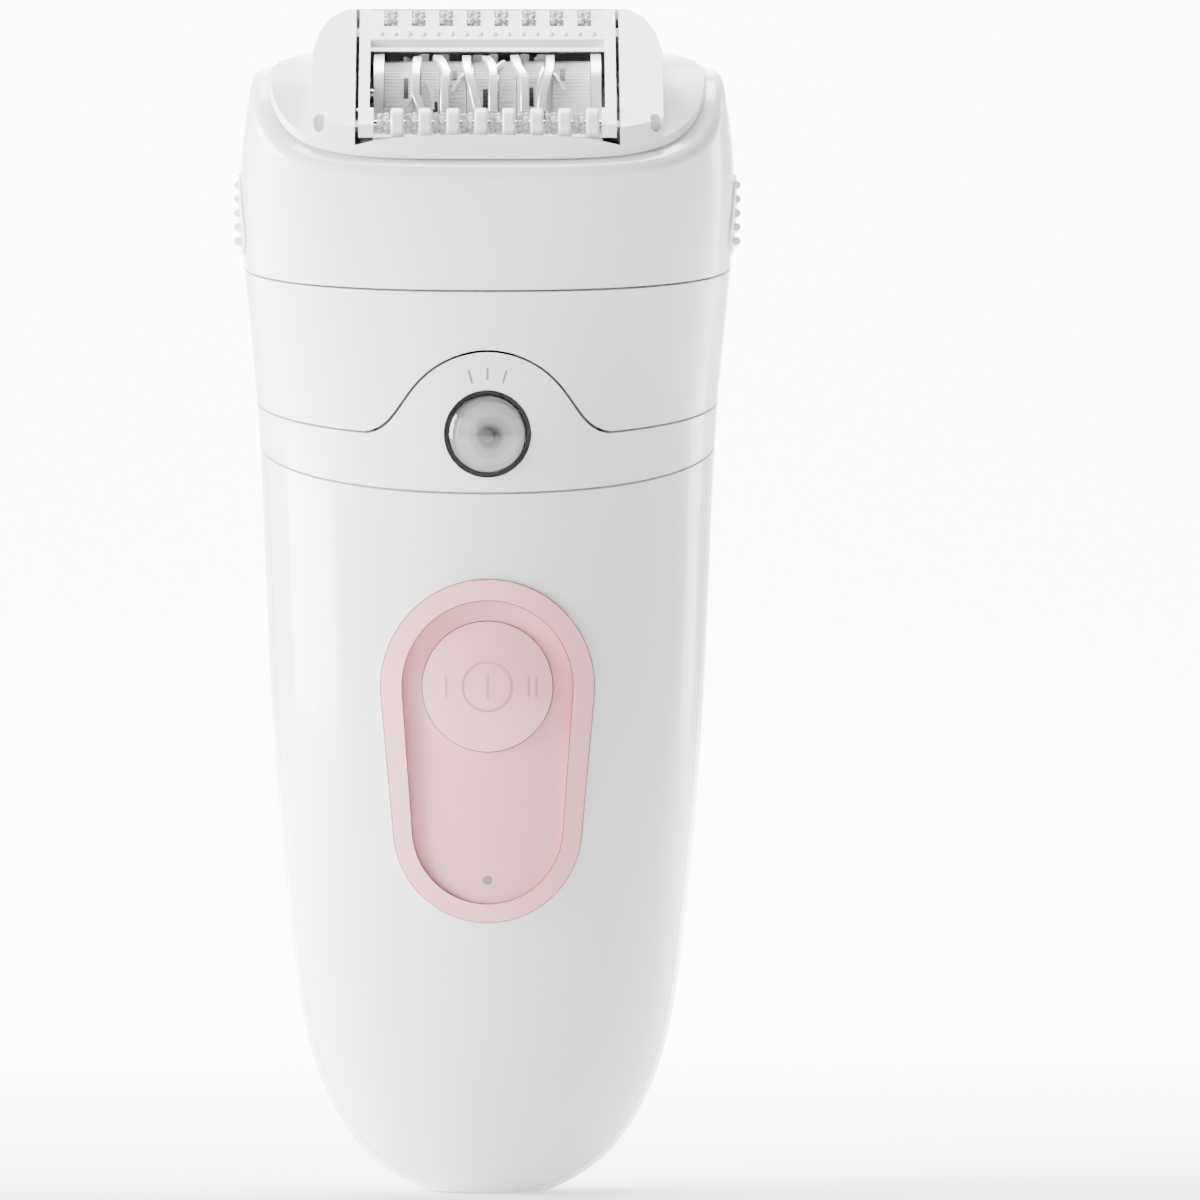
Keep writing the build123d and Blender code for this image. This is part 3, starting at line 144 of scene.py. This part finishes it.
def paint_reflector_light(mat, centre, stops):
    """Paints reflection into a material's grey: rings run outwards from a centre in XZ, with a painted
    highlight brighter towards the lower left.

    stops are (radius in mm, grey).
    """
    tree = mat.node_tree
    coords = tree.nodes.new("ShaderNodeTexCoord")
    place = tree.nodes.new("ShaderNodeMapping")
    reach = stops[-1][0] * MM
    place.inputs["Location"].default_value = (-centre[0] / reach, 0, -centre[1] / reach)
    place.inputs["Scale"].default_value = (1 / reach, 0, 1 / reach)
    length = tree.nodes.new("ShaderNodeVectorMath")
    length.operation = "LENGTH"
    side = tree.nodes.new("ShaderNodeVectorMath")
    side.operation = "DOT_PRODUCT"
    side.inputs[1].default_value = TOWARDS_LOWER_LEFT
    painted_highlight_lift = tree.nodes.new("ShaderNodeMapRange")
    painted_highlight_lift.inputs["From Min"].default_value = -1.0
    painted_highlight_lift.inputs["To Min"].default_value, painted_highlight_lift.inputs["To Max"].default_value = PAINTED_HIGHLIGHT_SCALES
    ramp = tree.nodes.new("ShaderNodeValToRGB")
    ramp.color_ramp.interpolation = "EASE"
    for i, (radius, grey) in enumerate(stops):
        stop = ramp.color_ramp.elements[i] if i < 2 else ramp.color_ramp.elements.new(1.0)
        stop.position = radius * MM / reach
        stop.color = (grey, grey, grey * COOL_CAST, 1)
    tone = tree.nodes.new("ShaderNodeVectorMath")
    tone.operation = "SCALE"
    tree.links.new(coords.outputs["Object"], place.inputs["Vector"])
    tree.links.new(place.outputs["Vector"], length.inputs[0])
    tree.links.new(place.outputs["Vector"], side.inputs[0])
    tree.links.new(side.outputs["Value"], painted_highlight_lift.inputs["Value"])
    tree.links.new(length.outputs["Value"], ramp.inputs["Fac"])
    tree.links.new(ramp.outputs["Color"], tone.inputs[0])
    tree.links.new(painted_highlight_lift.outputs["Result"], tone.inputs["Scale"])
    tree.links.new(tone.outputs["Vector"], tree.nodes["Principled BSDF"].inputs["Base Color"])


LOOKS = {
    WHITE: ["front_shell", "rear_shell", "light_collar", "head_skirt", "head_shell"],
    SATIN: ["cap_housing", "release_button_left", "release_button_right", "power_inlet"],
    FRAME_WHITE: ["roller_frame"],
    RIM_PINK: ["switch_surround"],
    PANEL_PINK: ["switch_panel"],
    KEY_PINK: ["power_button"],
    LENS: ["lamp_lens"],
    MARK_GREY: ["indicator_pipe"],
    BEZEL: ["lamp_bezel"],
    STEEL: ["tweezer_wheels", "drum_shaft", "actuator_rods", "front_roller_axle", "rear_roller_axle"],
    INNER_STEEL: ["motor_can", "motor_shaft", "relay_axle", "idler_axle", "shell_screws", "head_screws",
                  "chassis_screws", "release_spring_left", "release_spring_right"],
    BRASS: ["shaft_bushes", "inlet_pins"],
    CLEAR: ["front_rollers", "rear_rollers"],
    DRUM_PLASTIC: ["drum_segments"],
    DISC: ["drum_discs"],
    GEAR_PLASTIC: ["relay_gear", "idler_gear", "drum_gear", "motor_pinion", "closing_cam"],
    CHASSIS: ["drive_chassis", "coupling_deck", "head_chassis", "motor_end_cap"],
    SEAL: ["deck_seal", "inlet_leads", "motor_leads"],
    BOARD: ["circuit_board", "lamp_led"],
    CHIP: ["board_parts", "tact_switch"],
}


def paint(obj, mat):
    """Gives every material slot of a piece one material."""
    if not obj.material_slots:
        obj.data.materials.append(mat)
    for entry in obj.material_slots:
        entry.material = mat


for look, names in LOOKS.items():
    for name in names:
        paint(nodes[name], look)


# ---------------------------------------------------------------- mesh helpers
def new_piece(name, mesh_or_bm, mat, body, smooth=True):
    """Object from a mesh or bmesh, painted and riding on a body."""
    if isinstance(mesh_or_bm, bmesh.types.BMesh):
        mesh = bpy.data.meshes.new(name)
        bmesh.ops.recalc_face_normals(mesh_or_bm, faces=mesh_or_bm.faces)
        mesh_or_bm.to_mesh(mesh)
        mesh_or_bm.free()
    else:
        mesh = mesh_or_bm
    for poly in mesh.polygons:
        poly.use_smooth = smooth
    obj = bpy.data.objects.new(name, mesh)
    bpy.context.scene.collection.objects.link(obj)
    paint(obj, mat)
    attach(obj, body)
    return obj


def lathe(bm, profile, centre, axis="X", steps=48, closed=True):
    """Ring mesh from (along, radius) points turned about an axis through centre."""
    rings = []
    for along, radius in profile:
        ring = []
        for i in range(steps):
            a = 2 * math.pi * i / steps
            c, s = radius * math.cos(a), radius * math.sin(a)
            offset = {"X": (along, c, s), "Y": (c, along, s), "Z": (c, s, along)}[axis]
            ring.append(bm.verts.new(Vector(centre) + Vector(offset)))
        rings.append(ring)
    pairs = list(zip(rings, rings[1:])) + ([(rings[-1], rings[0])] if closed else [])
    for low, high in pairs:
        for i in range(steps):
            j = (i + 1) % steps
            bm.faces.new((low[i], low[j], high[j], high[i]))
    return rings


def surface_y(node, x, z):
    """Y of the first surface of a CAD node met from the front at (x, z)."""
    hit, place, _, _ = nodes[node].ray_cast(Vector((x, -CLEAR_OF_ALL, z)), Vector((0, 1, 0)))
    return place.y if hit else None


# ---------------------------------------------------------------- lamp
def ball_profile(radius, rise, steps):
    """(along, radius) points of a dome from its apex to its edge."""
    sphere = (radius**2 + rise**2) / (2 * rise)
    reach = math.asin(radius / sphere)
    return [(sphere * (1 - math.cos(reach * i / steps)), sphere * math.sin(reach * i / steps))
            for i in range(1, steps + 1)]


def turned_solid(name, profile, centre, steps, mat):
    """Closed solid of revolution about Y, riding on the handle."""
    bm = bmesh.new()
    rings = lathe(bm, profile, centre, "Y", steps, closed=False)
    bm.faces.new(rings[0])
    bm.faces.new(rings[-1])
    return new_piece(name, bm, mat, "handle")


# Lamp, in millimetres: depths are measured back from the apex of the dome
DOME_RISE = 1.5
GLASS_THICK, GLASS_SKIRT = 0.9, 2.2
GLASS_INSIDE, SKIRT_INSIDE, BOWL_SHARE = 0.9, 0.93, 0.92     # shares of the lens radius
BOWL_FLOOR, BOWL_RISE, BOWL_THICK = 3.7, 1.7, 0.25
BOWL_STEPS = 10
DIE_PROFILE = ((3.0, 0.2), (3.05, 0.5), (3.2, 0.8), (3.7, 0.9))     # depth, radius
PAINTED_RING_OFFSET = 0.35         # the painted reflection rings are centred this far right of and below the lamp's axis
# painted reflection and shade in the bowl, as (radius in mm, grey): dark middle, bright ring, dark edge
PAINTED_REFLECTION_RINGS = ((0.0, 0.05), (1.0, 0.08), (2.1, 0.55), (2.9, 0.86), (3.8, 0.80), (4.3, 0.45), (4.8, 0.20))


def lamp():
    """High-detail dome, with the reflector bowl and the lamp die behind it."""
    low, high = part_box("lamp_lens")
    centre_z, apex = (low.z + high.z) / 2, low.y
    radius, rise = (high.x - low.x) / 2, DOME_RISE * MM
    centre = (0, apex, centre_z)
    dome = ball_profile(radius, rise, 14)
    back = [(a + GLASS_THICK * MM, r * GLASS_INSIDE) for a, r in reversed(dome)]
    skirt = rise + GLASS_SKIRT * MM
    rim = [(skirt, radius), (skirt, radius * SKIRT_INSIDE)]
    glass = turned_solid("lamp_glass", dome + rim + back, centre, 72, LENS)
    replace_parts(glass, "lamp_lens")
    bowl = [(BOWL_FLOOR * MM - BOWL_RISE * MM * (i / BOWL_STEPS) ** 2, radius * BOWL_SHARE * i / BOWL_STEPS)
            for i in range(1, BOWL_STEPS + 1)]
    shell = [(a + BOWL_THICK * MM, r) for a, r in reversed(bowl)]
    # the reflector's grey is painted reflection and a painted highlight, not its own colour
    paint_reflector_light(REFLECTOR_PAINTED_LIGHT, (PAINTED_RING_OFFSET * MM, centre_z - PAINTED_RING_OFFSET * MM), PAINTED_REFLECTION_RINGS)
    turned_solid("lamp_reflector", bowl + shell, centre, 72, REFLECTOR_PAINTED_LIGHT)
    die = [(depth * MM, r * MM) for depth, r in DIE_PROFILE]
    turned_solid("lamp_die", die, centre, 32, LAMP_DIE)


# ---------------------------------------------------------------- printed and sunk marks
def inlay(bm, outline, y_front, y_back):
    """Thin prism along Y over a closed (x, z) outline; y_front may be a function of x and z."""
    front = [bm.verts.new((x, y_front(x, z) if callable(y_front) else y_front, z)) for x, z in outline]
    rear = [bm.verts.new((v.co.x, v.co.y + y_back, v.co.z)) for v in front]
    bm.faces.new(front)
    bm.faces.new(list(reversed(rear)))
    for i in range(len(front)):
        j = (i + 1) % len(front)
        bm.faces.new((front[i], rear[i], rear[j], front[j]))


def bar_outline(x, z, width, height, lean=0.0, steps=5):
    """Round-ended upright bar, leaning by lean from foot to top."""
    points = []
    half = height / 2 - width / 2
    for sign in (1, -1):
        for i in range(steps + 1):
            a = math.pi * i / steps if sign > 0 else math.pi + math.pi * i / steps
            points.append((x + width / 2 * math.cos(a) + lean * sign * 0.5,
                           z + sign * half + width / 2 * math.sin(a)))
    return points


# Marks, in millimetres
KEY_RING = (2.83, 3.12)    # inner and outer radius
KEY_BARS = ((0, 0.30, 2.9), (-5.0, 0.26, 2.5), (5.0, 0.26, 2.5), (5.95, 0.26, 2.5))     # x, width, height
MARK_DEPTH = 0.12
RING_PROUD, BAR_PROUD, TICK_PROUD = 0.004, 0.012, 0.015
RING_REST_X = 3.5          # where the ring's height on the key is read
BAR_REST = 0.35            # a bar's height is read this far outwards of it
TICKS = ((-2.08, 99.5, 1.65, -0.4), (0.0, 99.85, 1.5, 0.0), (2.08, 99.5, 1.65, 0.4))    # x, z, height, lean
TICK_WIDTH, TICK_DEPTH = 0.30, 0.05


def key_marks():
    """Ring with a bar, and the one and two bars of the speed steps, filled flush in the key."""
    def face(x, z):
        return surface_y("power_button", x, z)
    bm = bmesh.new()
    zc = sum(c.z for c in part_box("power_button")) / 2
    inner, outer = [radius * MM for radius in KEY_RING]
    depth = MARK_DEPTH * MM
    y = face(RING_REST_X * MM, zc) - RING_PROUD * MM
    lathe(bm, [(0, inner), (0, outer), (depth, outer), (depth, inner)], (0, y, zc), "Y", 64)
    for x, width, height in KEY_BARS:
        beside = face((abs(x) + BAR_REST) * MM * (1 if x >= 0 else -1), zc)
        inlay(bm, bar_outline(x * MM, zc, width * MM, height * MM), beside - BAR_PROUD * MM, depth)
    new_piece("key_marks", bm, MARK_PINK, "key", smooth=False)


def light_ticks():
    """Three short rays above the lamp."""
    bm = bmesh.new()

    def face(x, z):
        return surface_y("light_collar", x, z) - TICK_PROUD * MM
    for x, z, height, lean in TICKS:
        outline = bar_outline(x * MM, z * MM, TICK_WIDTH * MM, height * MM, lean * MM)
        inlay(bm, outline, face, TICK_DEPTH * MM)
    new_piece("light_ticks", bm, MARK_GREY, "handle", smooth=False)


# ---------------------------------------------------------------- working face
FACE_TILT = math.radians(42)
FACE_ORIGIN = Vector((0, -13.2 * MM, 136.7 * MM))
UP_FACE = Vector((0, math.cos(FACE_TILT), math.sin(FACE_TILT)))
OUT_FACE = Vector((0, -math.sin(FACE_TILT), math.cos(FACE_TILT)))

# In millimetres
BEAD_COUNT, BEAD_PITCH, BEAD_RADIUS = 16, 1.73, 0.36
BEAD_UP, BEAD_OUT = 6.66, 0.6
BLADE_ROWS = (-8.6, -5.3, -2.1, 0.9, 4.0, 7.4)
BLADE_GAP = 0.94
BROAD_WIDTH, THIN_WIDTH, SLOT_SHADE_WIDTH = 1.05, 0.34, 0.62
EDGE = 0.06                # chamfer along a ribbon's outer edges
WHEEL_CLEARANCE, WHEEL_BORE, WHEEL_SUNK, BLADE_ROOT = 0.05, 1.6, 0.12, 0.3
BROAD_BELOW_TIP, THIN_BELOW_TIP, SLOT_SHADE_PROUD = 0.06, 0.35, 0.03
RIDGES, RIDGE_DEPTH = 84, 0.15
SEGMENT_END = (0.08, 0.25)     # length and depth of the chamfer on a segment's end
TURNS = (0, 90, 180, 270)      # each row's blades repeat round the drum, in degrees


def on_face(x, u, w):
    """Point at x, u up the face and w outwards, all in millimetres."""
    return FACE_ORIGIN + Vector((x * MM, 0, 0)) + UP_FACE * (u * MM) + OUT_FACE * (w * MM)


def sill_beads():
    """Row of tiny beads on the sill above the window."""
    bm = bmesh.new()
    for i in range(BEAD_COUNT):
        place = on_face((i - (BEAD_COUNT - 1) / 2) * BEAD_PITCH, BEAD_UP, BEAD_OUT)
        bead = bmesh.ops.create_icosphere(bm, subdivisions=2, radius=BEAD_RADIUS * MM)
        bmesh.ops.translate(bm, verts=bead["verts"], vec=place)
    new_piece("sill_beads", bm, FRAME_WHITE, "cap")


def drum_frame():
    """Axis and radii of the drum, read from its CAD parts."""
    low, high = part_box("drum_segments")
    tip_low, tip_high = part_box("drum_discs")
    return (low.y + high.y) / 2, (low.z + high.z) / 2, (high.z - low.z) / 2, (tip_high.z - tip_low.z) / 2


def ridged_segments():
    """Drum spacers with fine ridges along X."""
    low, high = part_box("drum_segments")
    axis_y, axis_z, radius, _ = drum_frame()
    ridge, points = RIDGE_DEPTH * MM, RIDGES * 4
    length, depth = SEGMENT_END
    half = BLADE_GAP / 2 * MM
    rows = [x * MM for x in BLADE_ROWS]
    spans = list(zip([low.x] + [x + half for x in rows], [x - half for x in rows] + [high.x]))
    bm = bmesh.new()
    for start, end in spans:
        rings = []
        for x, inset in ((start, depth), (start + length * MM, 0), (end - length * MM, 0), (end, depth)):
            ring = []
            for i in range(points):
                a = 2 * math.pi * i / points
                r = radius - inset * MM - (ridge if i % 4 in (2, 3) else 0)
                ring.append(bm.verts.new((x, axis_y + r * math.cos(a), axis_z + r * math.sin(a))))
            rings.append(ring)
        for one, two in zip(rings, rings[1:]):
            for i in range(len(one)):
                j = (i + 1) % len(one)
                bm.faces.new((one[i], one[j], two[j], two[i]))
        bm.faces.new(rings[0])
        bm.faces.new(rings[-1])
    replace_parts(new_piece("ridged_segments", bm, DRUM_PLASTIC, "drum", smooth=False),
                "drum_segments")


def drum_ribbon(bm, points, width, outer, inner, turn):
    """Strip bent round the drum: points are (x in mm, degrees up from the front), width in mm."""
    axis_y, axis_z, _, _ = drum_frame()
    dense = []
    for (x0, a0), (x1, a1) in zip(points, points[1:]):
        steps = max(2, int(abs(a1 - a0) / 5) + 1)
        dense += [(x0 + (x1 - x0) * i / steps, a0 + (a1 - a0) * i / steps) for i in range(steps)]
    dense.append(points[-1])
    sections = []
    for x, degrees in dense:
        a = math.radians(degrees + turn)
        section = []
        shoulder = outer - EDGE * MM
        outline = ((-1, inner), (-1, shoulder), (-0.8, outer), (0.8, outer), (1, shoulder), (1, inner))
        for side, r in outline:
            section.append(bm.verts.new(((x + side * width / 2) * MM, axis_y - r * math.cos(a),
                                         axis_z + r * math.sin(a))))
        sections.append(section)
    for one, two in zip(sections, sections[1:]):
        for i in range(len(one)):
            j = (i + 1) % len(one)
            bm.faces.new((one[i], one[j], two[j], two[i]))
    bm.faces.new(sections[0])
    bm.faces.new(sections[-1])


# For each row, the path of the broad blade and of the thin blade that it pinches, as points of
# (x from the row in mm, degrees up from the front of the drum), and below them the dark strip of
# painted shade in the slot beside the blades, as (x from the row in mm, first degrees, last degrees)
BROAD_BLADES = (
    ((0.9, 2), (-0.15, 20), (-0.1, 42), (0.1, 70)),
    ((0.1, 4), (0.1, 25), (0.35, 44), (-0.8, 76)),
    ((0.95, 6), (0.45, 24), (-0.4, 50), (-0.45, 74)),
    ((-0.2, 4), (-0.2, 44), (-0.4, 56), (-1.05, 72)),
    ((0.55, 4), (0.55, 38), (-0.35, 54), (-0.7, 76)),
    ((-0.85, 5), (-0.6, 22), (0.2, 48), (0.25, 76)),
)
THIN_BLADES = (
    ((-1.5, 5), (-0.75, 17), (-0.45, 22)),
    ((-1.3, 6), (-1.4, 22), (-2.1, 33)),
    ((-2.3, 22), (-1.3, 38), (-0.75, 44)),
    ((-0.1, 50), (0.5, 58), (1.1, 66)),
    ((1.9, 6), (2.0, 22), (2.4, 40), (2.75, 52)),
    ((0.75, 44), (1.2, 37), (1.95, 27)),
)
PAINTED_SLOT_SHADES = (
    (-1.3, 18, 42), (-1.05, 4, 14), (-1.9, 40, 54), (-1.15, 8, 28), (1.3, 10, 30), (1.7, 38, 58),
)


def tweezer_blades():
    """Bent spring-steel blades, four round each row, on a thin wheel that stands in the gap of the drum."""
    axis_y, axis_z, radius, tip = drum_frame()
    bm = bmesh.new()
    side = BLADE_GAP / 2 * MM - WHEEL_CLEARANCE * MM
    bore, edge, foot = WHEEL_BORE * MM, radius - WHEEL_SUNK * MM, radius - BLADE_ROOT * MM
    broad_tip, thin_tip = tip - BROAD_BELOW_TIP * MM, tip - THIN_BELOW_TIP * MM
    for row, broad, thin in zip(BLADE_ROWS, BROAD_BLADES, THIN_BLADES):
        centre = (row * MM, axis_y, axis_z)
        lathe(bm, [(-side, bore), (-side, edge), (side, edge), (side, bore)], centre, "X", 72)
        for turn in TURNS:
            drum_ribbon(bm, [(row + x, a) for x, a in broad], BROAD_WIDTH, broad_tip, foot, turn)
            drum_ribbon(bm, [(row + x, a) for x, a in thin], THIN_WIDTH, thin_tip, foot, turn)
    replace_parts(new_piece("tweezer_blades", bm, BLADE, "drum", smooth=False), "tweezer_wheels")
    # dark strips laid just proud of the drum paint the shade in the slots beside the blades
    bm = bmesh.new()
    for row, (x, start, end) in zip(BLADE_ROWS, PAINTED_SLOT_SHADES):
        for turn in TURNS:
            path = [(row + x, start), (row + x, end)]
            drum_ribbon(bm, path, SLOT_SHADE_WIDTH, radius + SLOT_SHADE_PROUD * MM, foot, turn)
    new_piece("drum_painted_slot_shade", bm, PAINTED_SLOT_SHADE, "drum", smooth=False)


# ---------------------------------------------------------------- seal in the head seam
SEAM_SEARCH = (0.0895, 0.1040)     # the seam's lowest and highest places
SEAL_SPANS = ((-1, 26.8), (1, 26.4))     # front and back, each with half its width in millimetres
SEAL_GAP, SEAL_RECESS, SEAL_THICK, SEAL_ROOT = 0.3 * MM, 0.3 * MM, 0.2 * MM, 0.3 * MM
SEAL_FILL = 0.96           # share of the gap that the lip fills
STEEPEST = 1.8             # limit on how much a steep seam lengthens the lip
SEAL_STEPS = 64            # to each side of the middle
HALVINGS = 14
JUST_BELOW = 0.05 * MM     # how far under the seam the collar's surface is read


def top_edge(node, x, low, high, side):
    """Height at which a node's outer surface ends, met along Y from the front (-1) or the back (1)."""
    near_axis = 0.002
    for _ in range(HALVINGS):
        middle = (low + high) / 2
        start = Vector((x, side * CLEAR_OF_ALL, middle))
        hit, place, _, _ = nodes[node].ray_cast(start, Vector((0, -side, 0)))
        if hit and place.y * side > near_axis:
            low = middle
        else:
            high = middle
    return low


def head_seal():
    """Dark lip of the seal that shows in the seam between the light collar and the head."""
    bm = bmesh.new()
    for side, span in SEAL_SPANS:
        turns = range(-SEAL_STEPS, SEAL_STEPS + 1)
        xs = [span * MM * math.sin(math.pi / 2 * i / SEAL_STEPS) for i in turns]
        path = []
        for x in xs:
            z = top_edge("light_collar", x, *SEAM_SEARCH, side)
            start = Vector((x, side * CLEAR_OF_ALL, z - JUST_BELOW))
            hit, place, _, _ = nodes["light_collar"].ray_cast(start, Vector((0, -side, 0)))
            if hit:
                path.append((x, place.y - side * SEAL_RECESS, z))
        sections = []
        for i, (x, y, z) in enumerate(path):
            before, after = path[max(i - 1, 0)], path[min(i + 1, len(path) - 1)]
            slope = (after[2] - before[2]) / max(after[0] - before[0], 1e-6)
            rise = SEAL_GAP * min(math.sqrt(1 + slope * slope), STEEPEST) * SEAL_FILL
            inner_y, root = y - side * SEAL_THICK, z - SEAL_ROOT
            corners = ((x, y, root), (x, y, z + rise), (x, inner_y, z + rise), (x, inner_y, root))
            sections.append([bm.verts.new(corner) for corner in corners])
        for one, two in zip(sections, sections[1:]):
            for i in range(4):
                j = (i + 1) % 4
                bm.faces.new((one[i], one[j], two[j], two[i]))
        bm.faces.new(sections[0])
        bm.faces.new(sections[-1])
    new_piece("head_seal_lip", bm, SEAL, "handle", smooth=False)


lamp()
key_marks()
light_ticks()
sill_beads()
ridged_segments()
tweezer_blades()
head_seal()


# ---------------------------------------------------------------- floor, light and camera
FLOOR_FRONT, FLOOR_FLAT, FLOOR_BEND, WALL_TOP = -2.2, 1.7, 0.6, 2.6
FLOOR_HALF_WIDTH = 3.0
FLOOR_DROP = 0.0002        # keeps the floor clear of the base
BEND_STEPS = 12
GLOW_FROM, GLOW_FULL, GLOW = -0.04, 0.40, 9.0      # y where the glow starts and is full, and its strength
GLOW_SPREAD = (0.35, 0.8)  # how far to either side it glows in full, and where it has faded
GLOW_ASIDE = 0.15          # share of the glow that is left there


def stage_plane():
    """Pale floor that curves up into a backdrop behind the object and glows towards it."""
    bm = bmesh.new()
    angles = [math.pi / 2 * i / BEND_STEPS for i in range(1, BEND_STEPS + 1)]
    profile = [(FLOOR_FRONT, 0.0), (FLOOR_FLAT, 0.0)]
    profile += [(FLOOR_FLAT + FLOOR_BEND * math.sin(a), FLOOR_BEND * (1 - math.cos(a))) for a in angles]
    profile += [(FLOOR_FLAT + FLOOR_BEND, WALL_TOP)]
    sides = (-FLOOR_HALF_WIDTH, FLOOR_HALF_WIDTH)
    rows = [[bm.verts.new((x, y, z - FLOOR_DROP)) for y, z in profile] for x in sides]
    for i in range(len(profile) - 1):
        bm.faces.new((rows[0][i], rows[1][i], rows[1][i + 1], rows[0][i + 1]))
    mesh = bpy.data.meshes.new("floor")
    bm.to_mesh(mesh)
    bm.free()
    floor = bpy.data.objects.new("floor", mesh)
    bpy.context.scene.collection.objects.link(floor)
    for poly in mesh.polygons:
        poly.use_smooth = True
    pale = shader("pale_floor", (0.78, 0.78, 0.78), 0.8, vary=0.01, vary_scale=4, bump=0.0)
    tree = pale.node_tree
    bsdf = tree.nodes["Principled BSDF"]
    bsdf.inputs["Emission Color"].default_value = (1, 1, 1, 1)
    coords = tree.nodes.new("ShaderNodeTexCoord")
    split = tree.nodes.new("ShaderNodeSeparateXYZ")
    glow = tree.nodes.new("ShaderNodeMapRange")
    glow.inputs["From Min"].default_value = GLOW_FROM
    glow.inputs["From Max"].default_value = GLOW_FULL
    glow.inputs["To Max"].default_value = GLOW
    tree.links.new(coords.outputs["Object"], split.inputs["Vector"])
    tree.links.new(split.outputs["Y"], glow.inputs["Value"])
    aside = tree.nodes.new("ShaderNodeMath")
    aside.operation = "ABSOLUTE"
    fade = tree.nodes.new("ShaderNodeMapRange")
    fade.inputs["From Min"].default_value, fade.inputs["From Max"].default_value = GLOW_SPREAD
    fade.inputs["To Min"].default_value, fade.inputs["To Max"].default_value = 1.0, GLOW_ASIDE
    both = tree.nodes.new("ShaderNodeMath")
    both.operation = "MULTIPLY"
    tree.links.new(split.outputs["X"], aside.inputs[0])
    tree.links.new(aside.outputs["Value"], fade.inputs["Value"])
    tree.links.new(glow.outputs["Result"], both.inputs[0])
    tree.links.new(fade.outputs["Result"], both.inputs[1])
    tree.links.new(both.outputs["Value"], bsdf.inputs["Emission Strength"])
    paint(floor, pale)


BODY_MIDDLE = (0, 0, 0.075)
# name, place, target, width, height, power in watts
LIGHTS = (
    ("key_left", (-1.0, -0.14, 0.22), BODY_MIDDLE, 0.8, 0.9, 95.0),
    ("front_left", (-0.66, -0.80, 0.24), BODY_MIDDLE, 0.75, 0.7, 2.8),
    ("edge_right", (0.75, 0.35, 0.20), BODY_MIDDLE, 0.3, 0.9, 9.0),
    ("top_soft", (0.0, 0.16, 0.85), (0, 0.02, 0.13), 0.55, 0.4, 20.0),
    ("back_floor", (0.0, 1.1, 1.2), (0, 1.1, 0), 1.6, 1.0, 25.0),
)
SKY_STRENGTH = 0.09


def area_light(name, place, target, width, height, power):
    """Rectangular soft light that faces a target."""
    data = bpy.data.lights.new(name, "AREA")
    data.shape = "RECTANGLE"
    data.size, data.size_y = width, height
    data.energy = power
    light = bpy.data.objects.new(name, data)
    light.location = place
    light.rotation_mode = "QUATERNION"
    light.rotation_quaternion = (Vector(target) - Vector(place)).to_track_quat("-Z", "Y")
    bpy.context.scene.collection.objects.link(light)


def studio():
    """Grazing key from the left, weak fills, and an even pale sky."""
    for entry in LIGHTS:
        area_light(*entry)
    world = bpy.data.worlds.new("studio")
    bpy.context.scene.world = world
    world.use_nodes = True
    world.node_tree.nodes["Background"].inputs["Color"].default_value = (1, 1, 1, 1)
    world.node_tree.nodes["Background"].inputs["Strength"].default_value = SKY_STRENGTH


SENSOR = 36.0              # millimetres
CAMERA_DISTANCE, CAMERA_HEIGHT = 1.2, 0.0725
FRONT_FACE = 0.02          # from the axis to the front surface, where the view is measured
VIEW_HEIGHT = 0.1452       # what the picture's height covers there
SIDE_SHIFT = 0.09375       # share of the picture's width that the object stands left of its middle


def camera():
    """Level long lens straight in front; the shift keeps the object left of the middle."""
    data = bpy.data.cameras.new("camera")
    cam = bpy.data.objects.new("camera", data)
    bpy.context.scene.collection.objects.link(cam)
    bpy.context.scene.camera = cam
    data.sensor_width = SENSOR
    data.lens = SENSOR * (CAMERA_DISTANCE - FRONT_FACE) / VIEW_HEIGHT
    data.shift_x = SIDE_SHIFT
    cam.location = (0, -CAMERA_DISTANCE, CAMERA_HEIGHT)
    cam.rotation_mode = "QUATERNION"
    cam.rotation_quaternion = Vector((0, 1, 0)).to_track_quat("-Z", "Y")
    data.clip_start, data.clip_end = 0.01, 10


stage_plane()
studio()
camera()
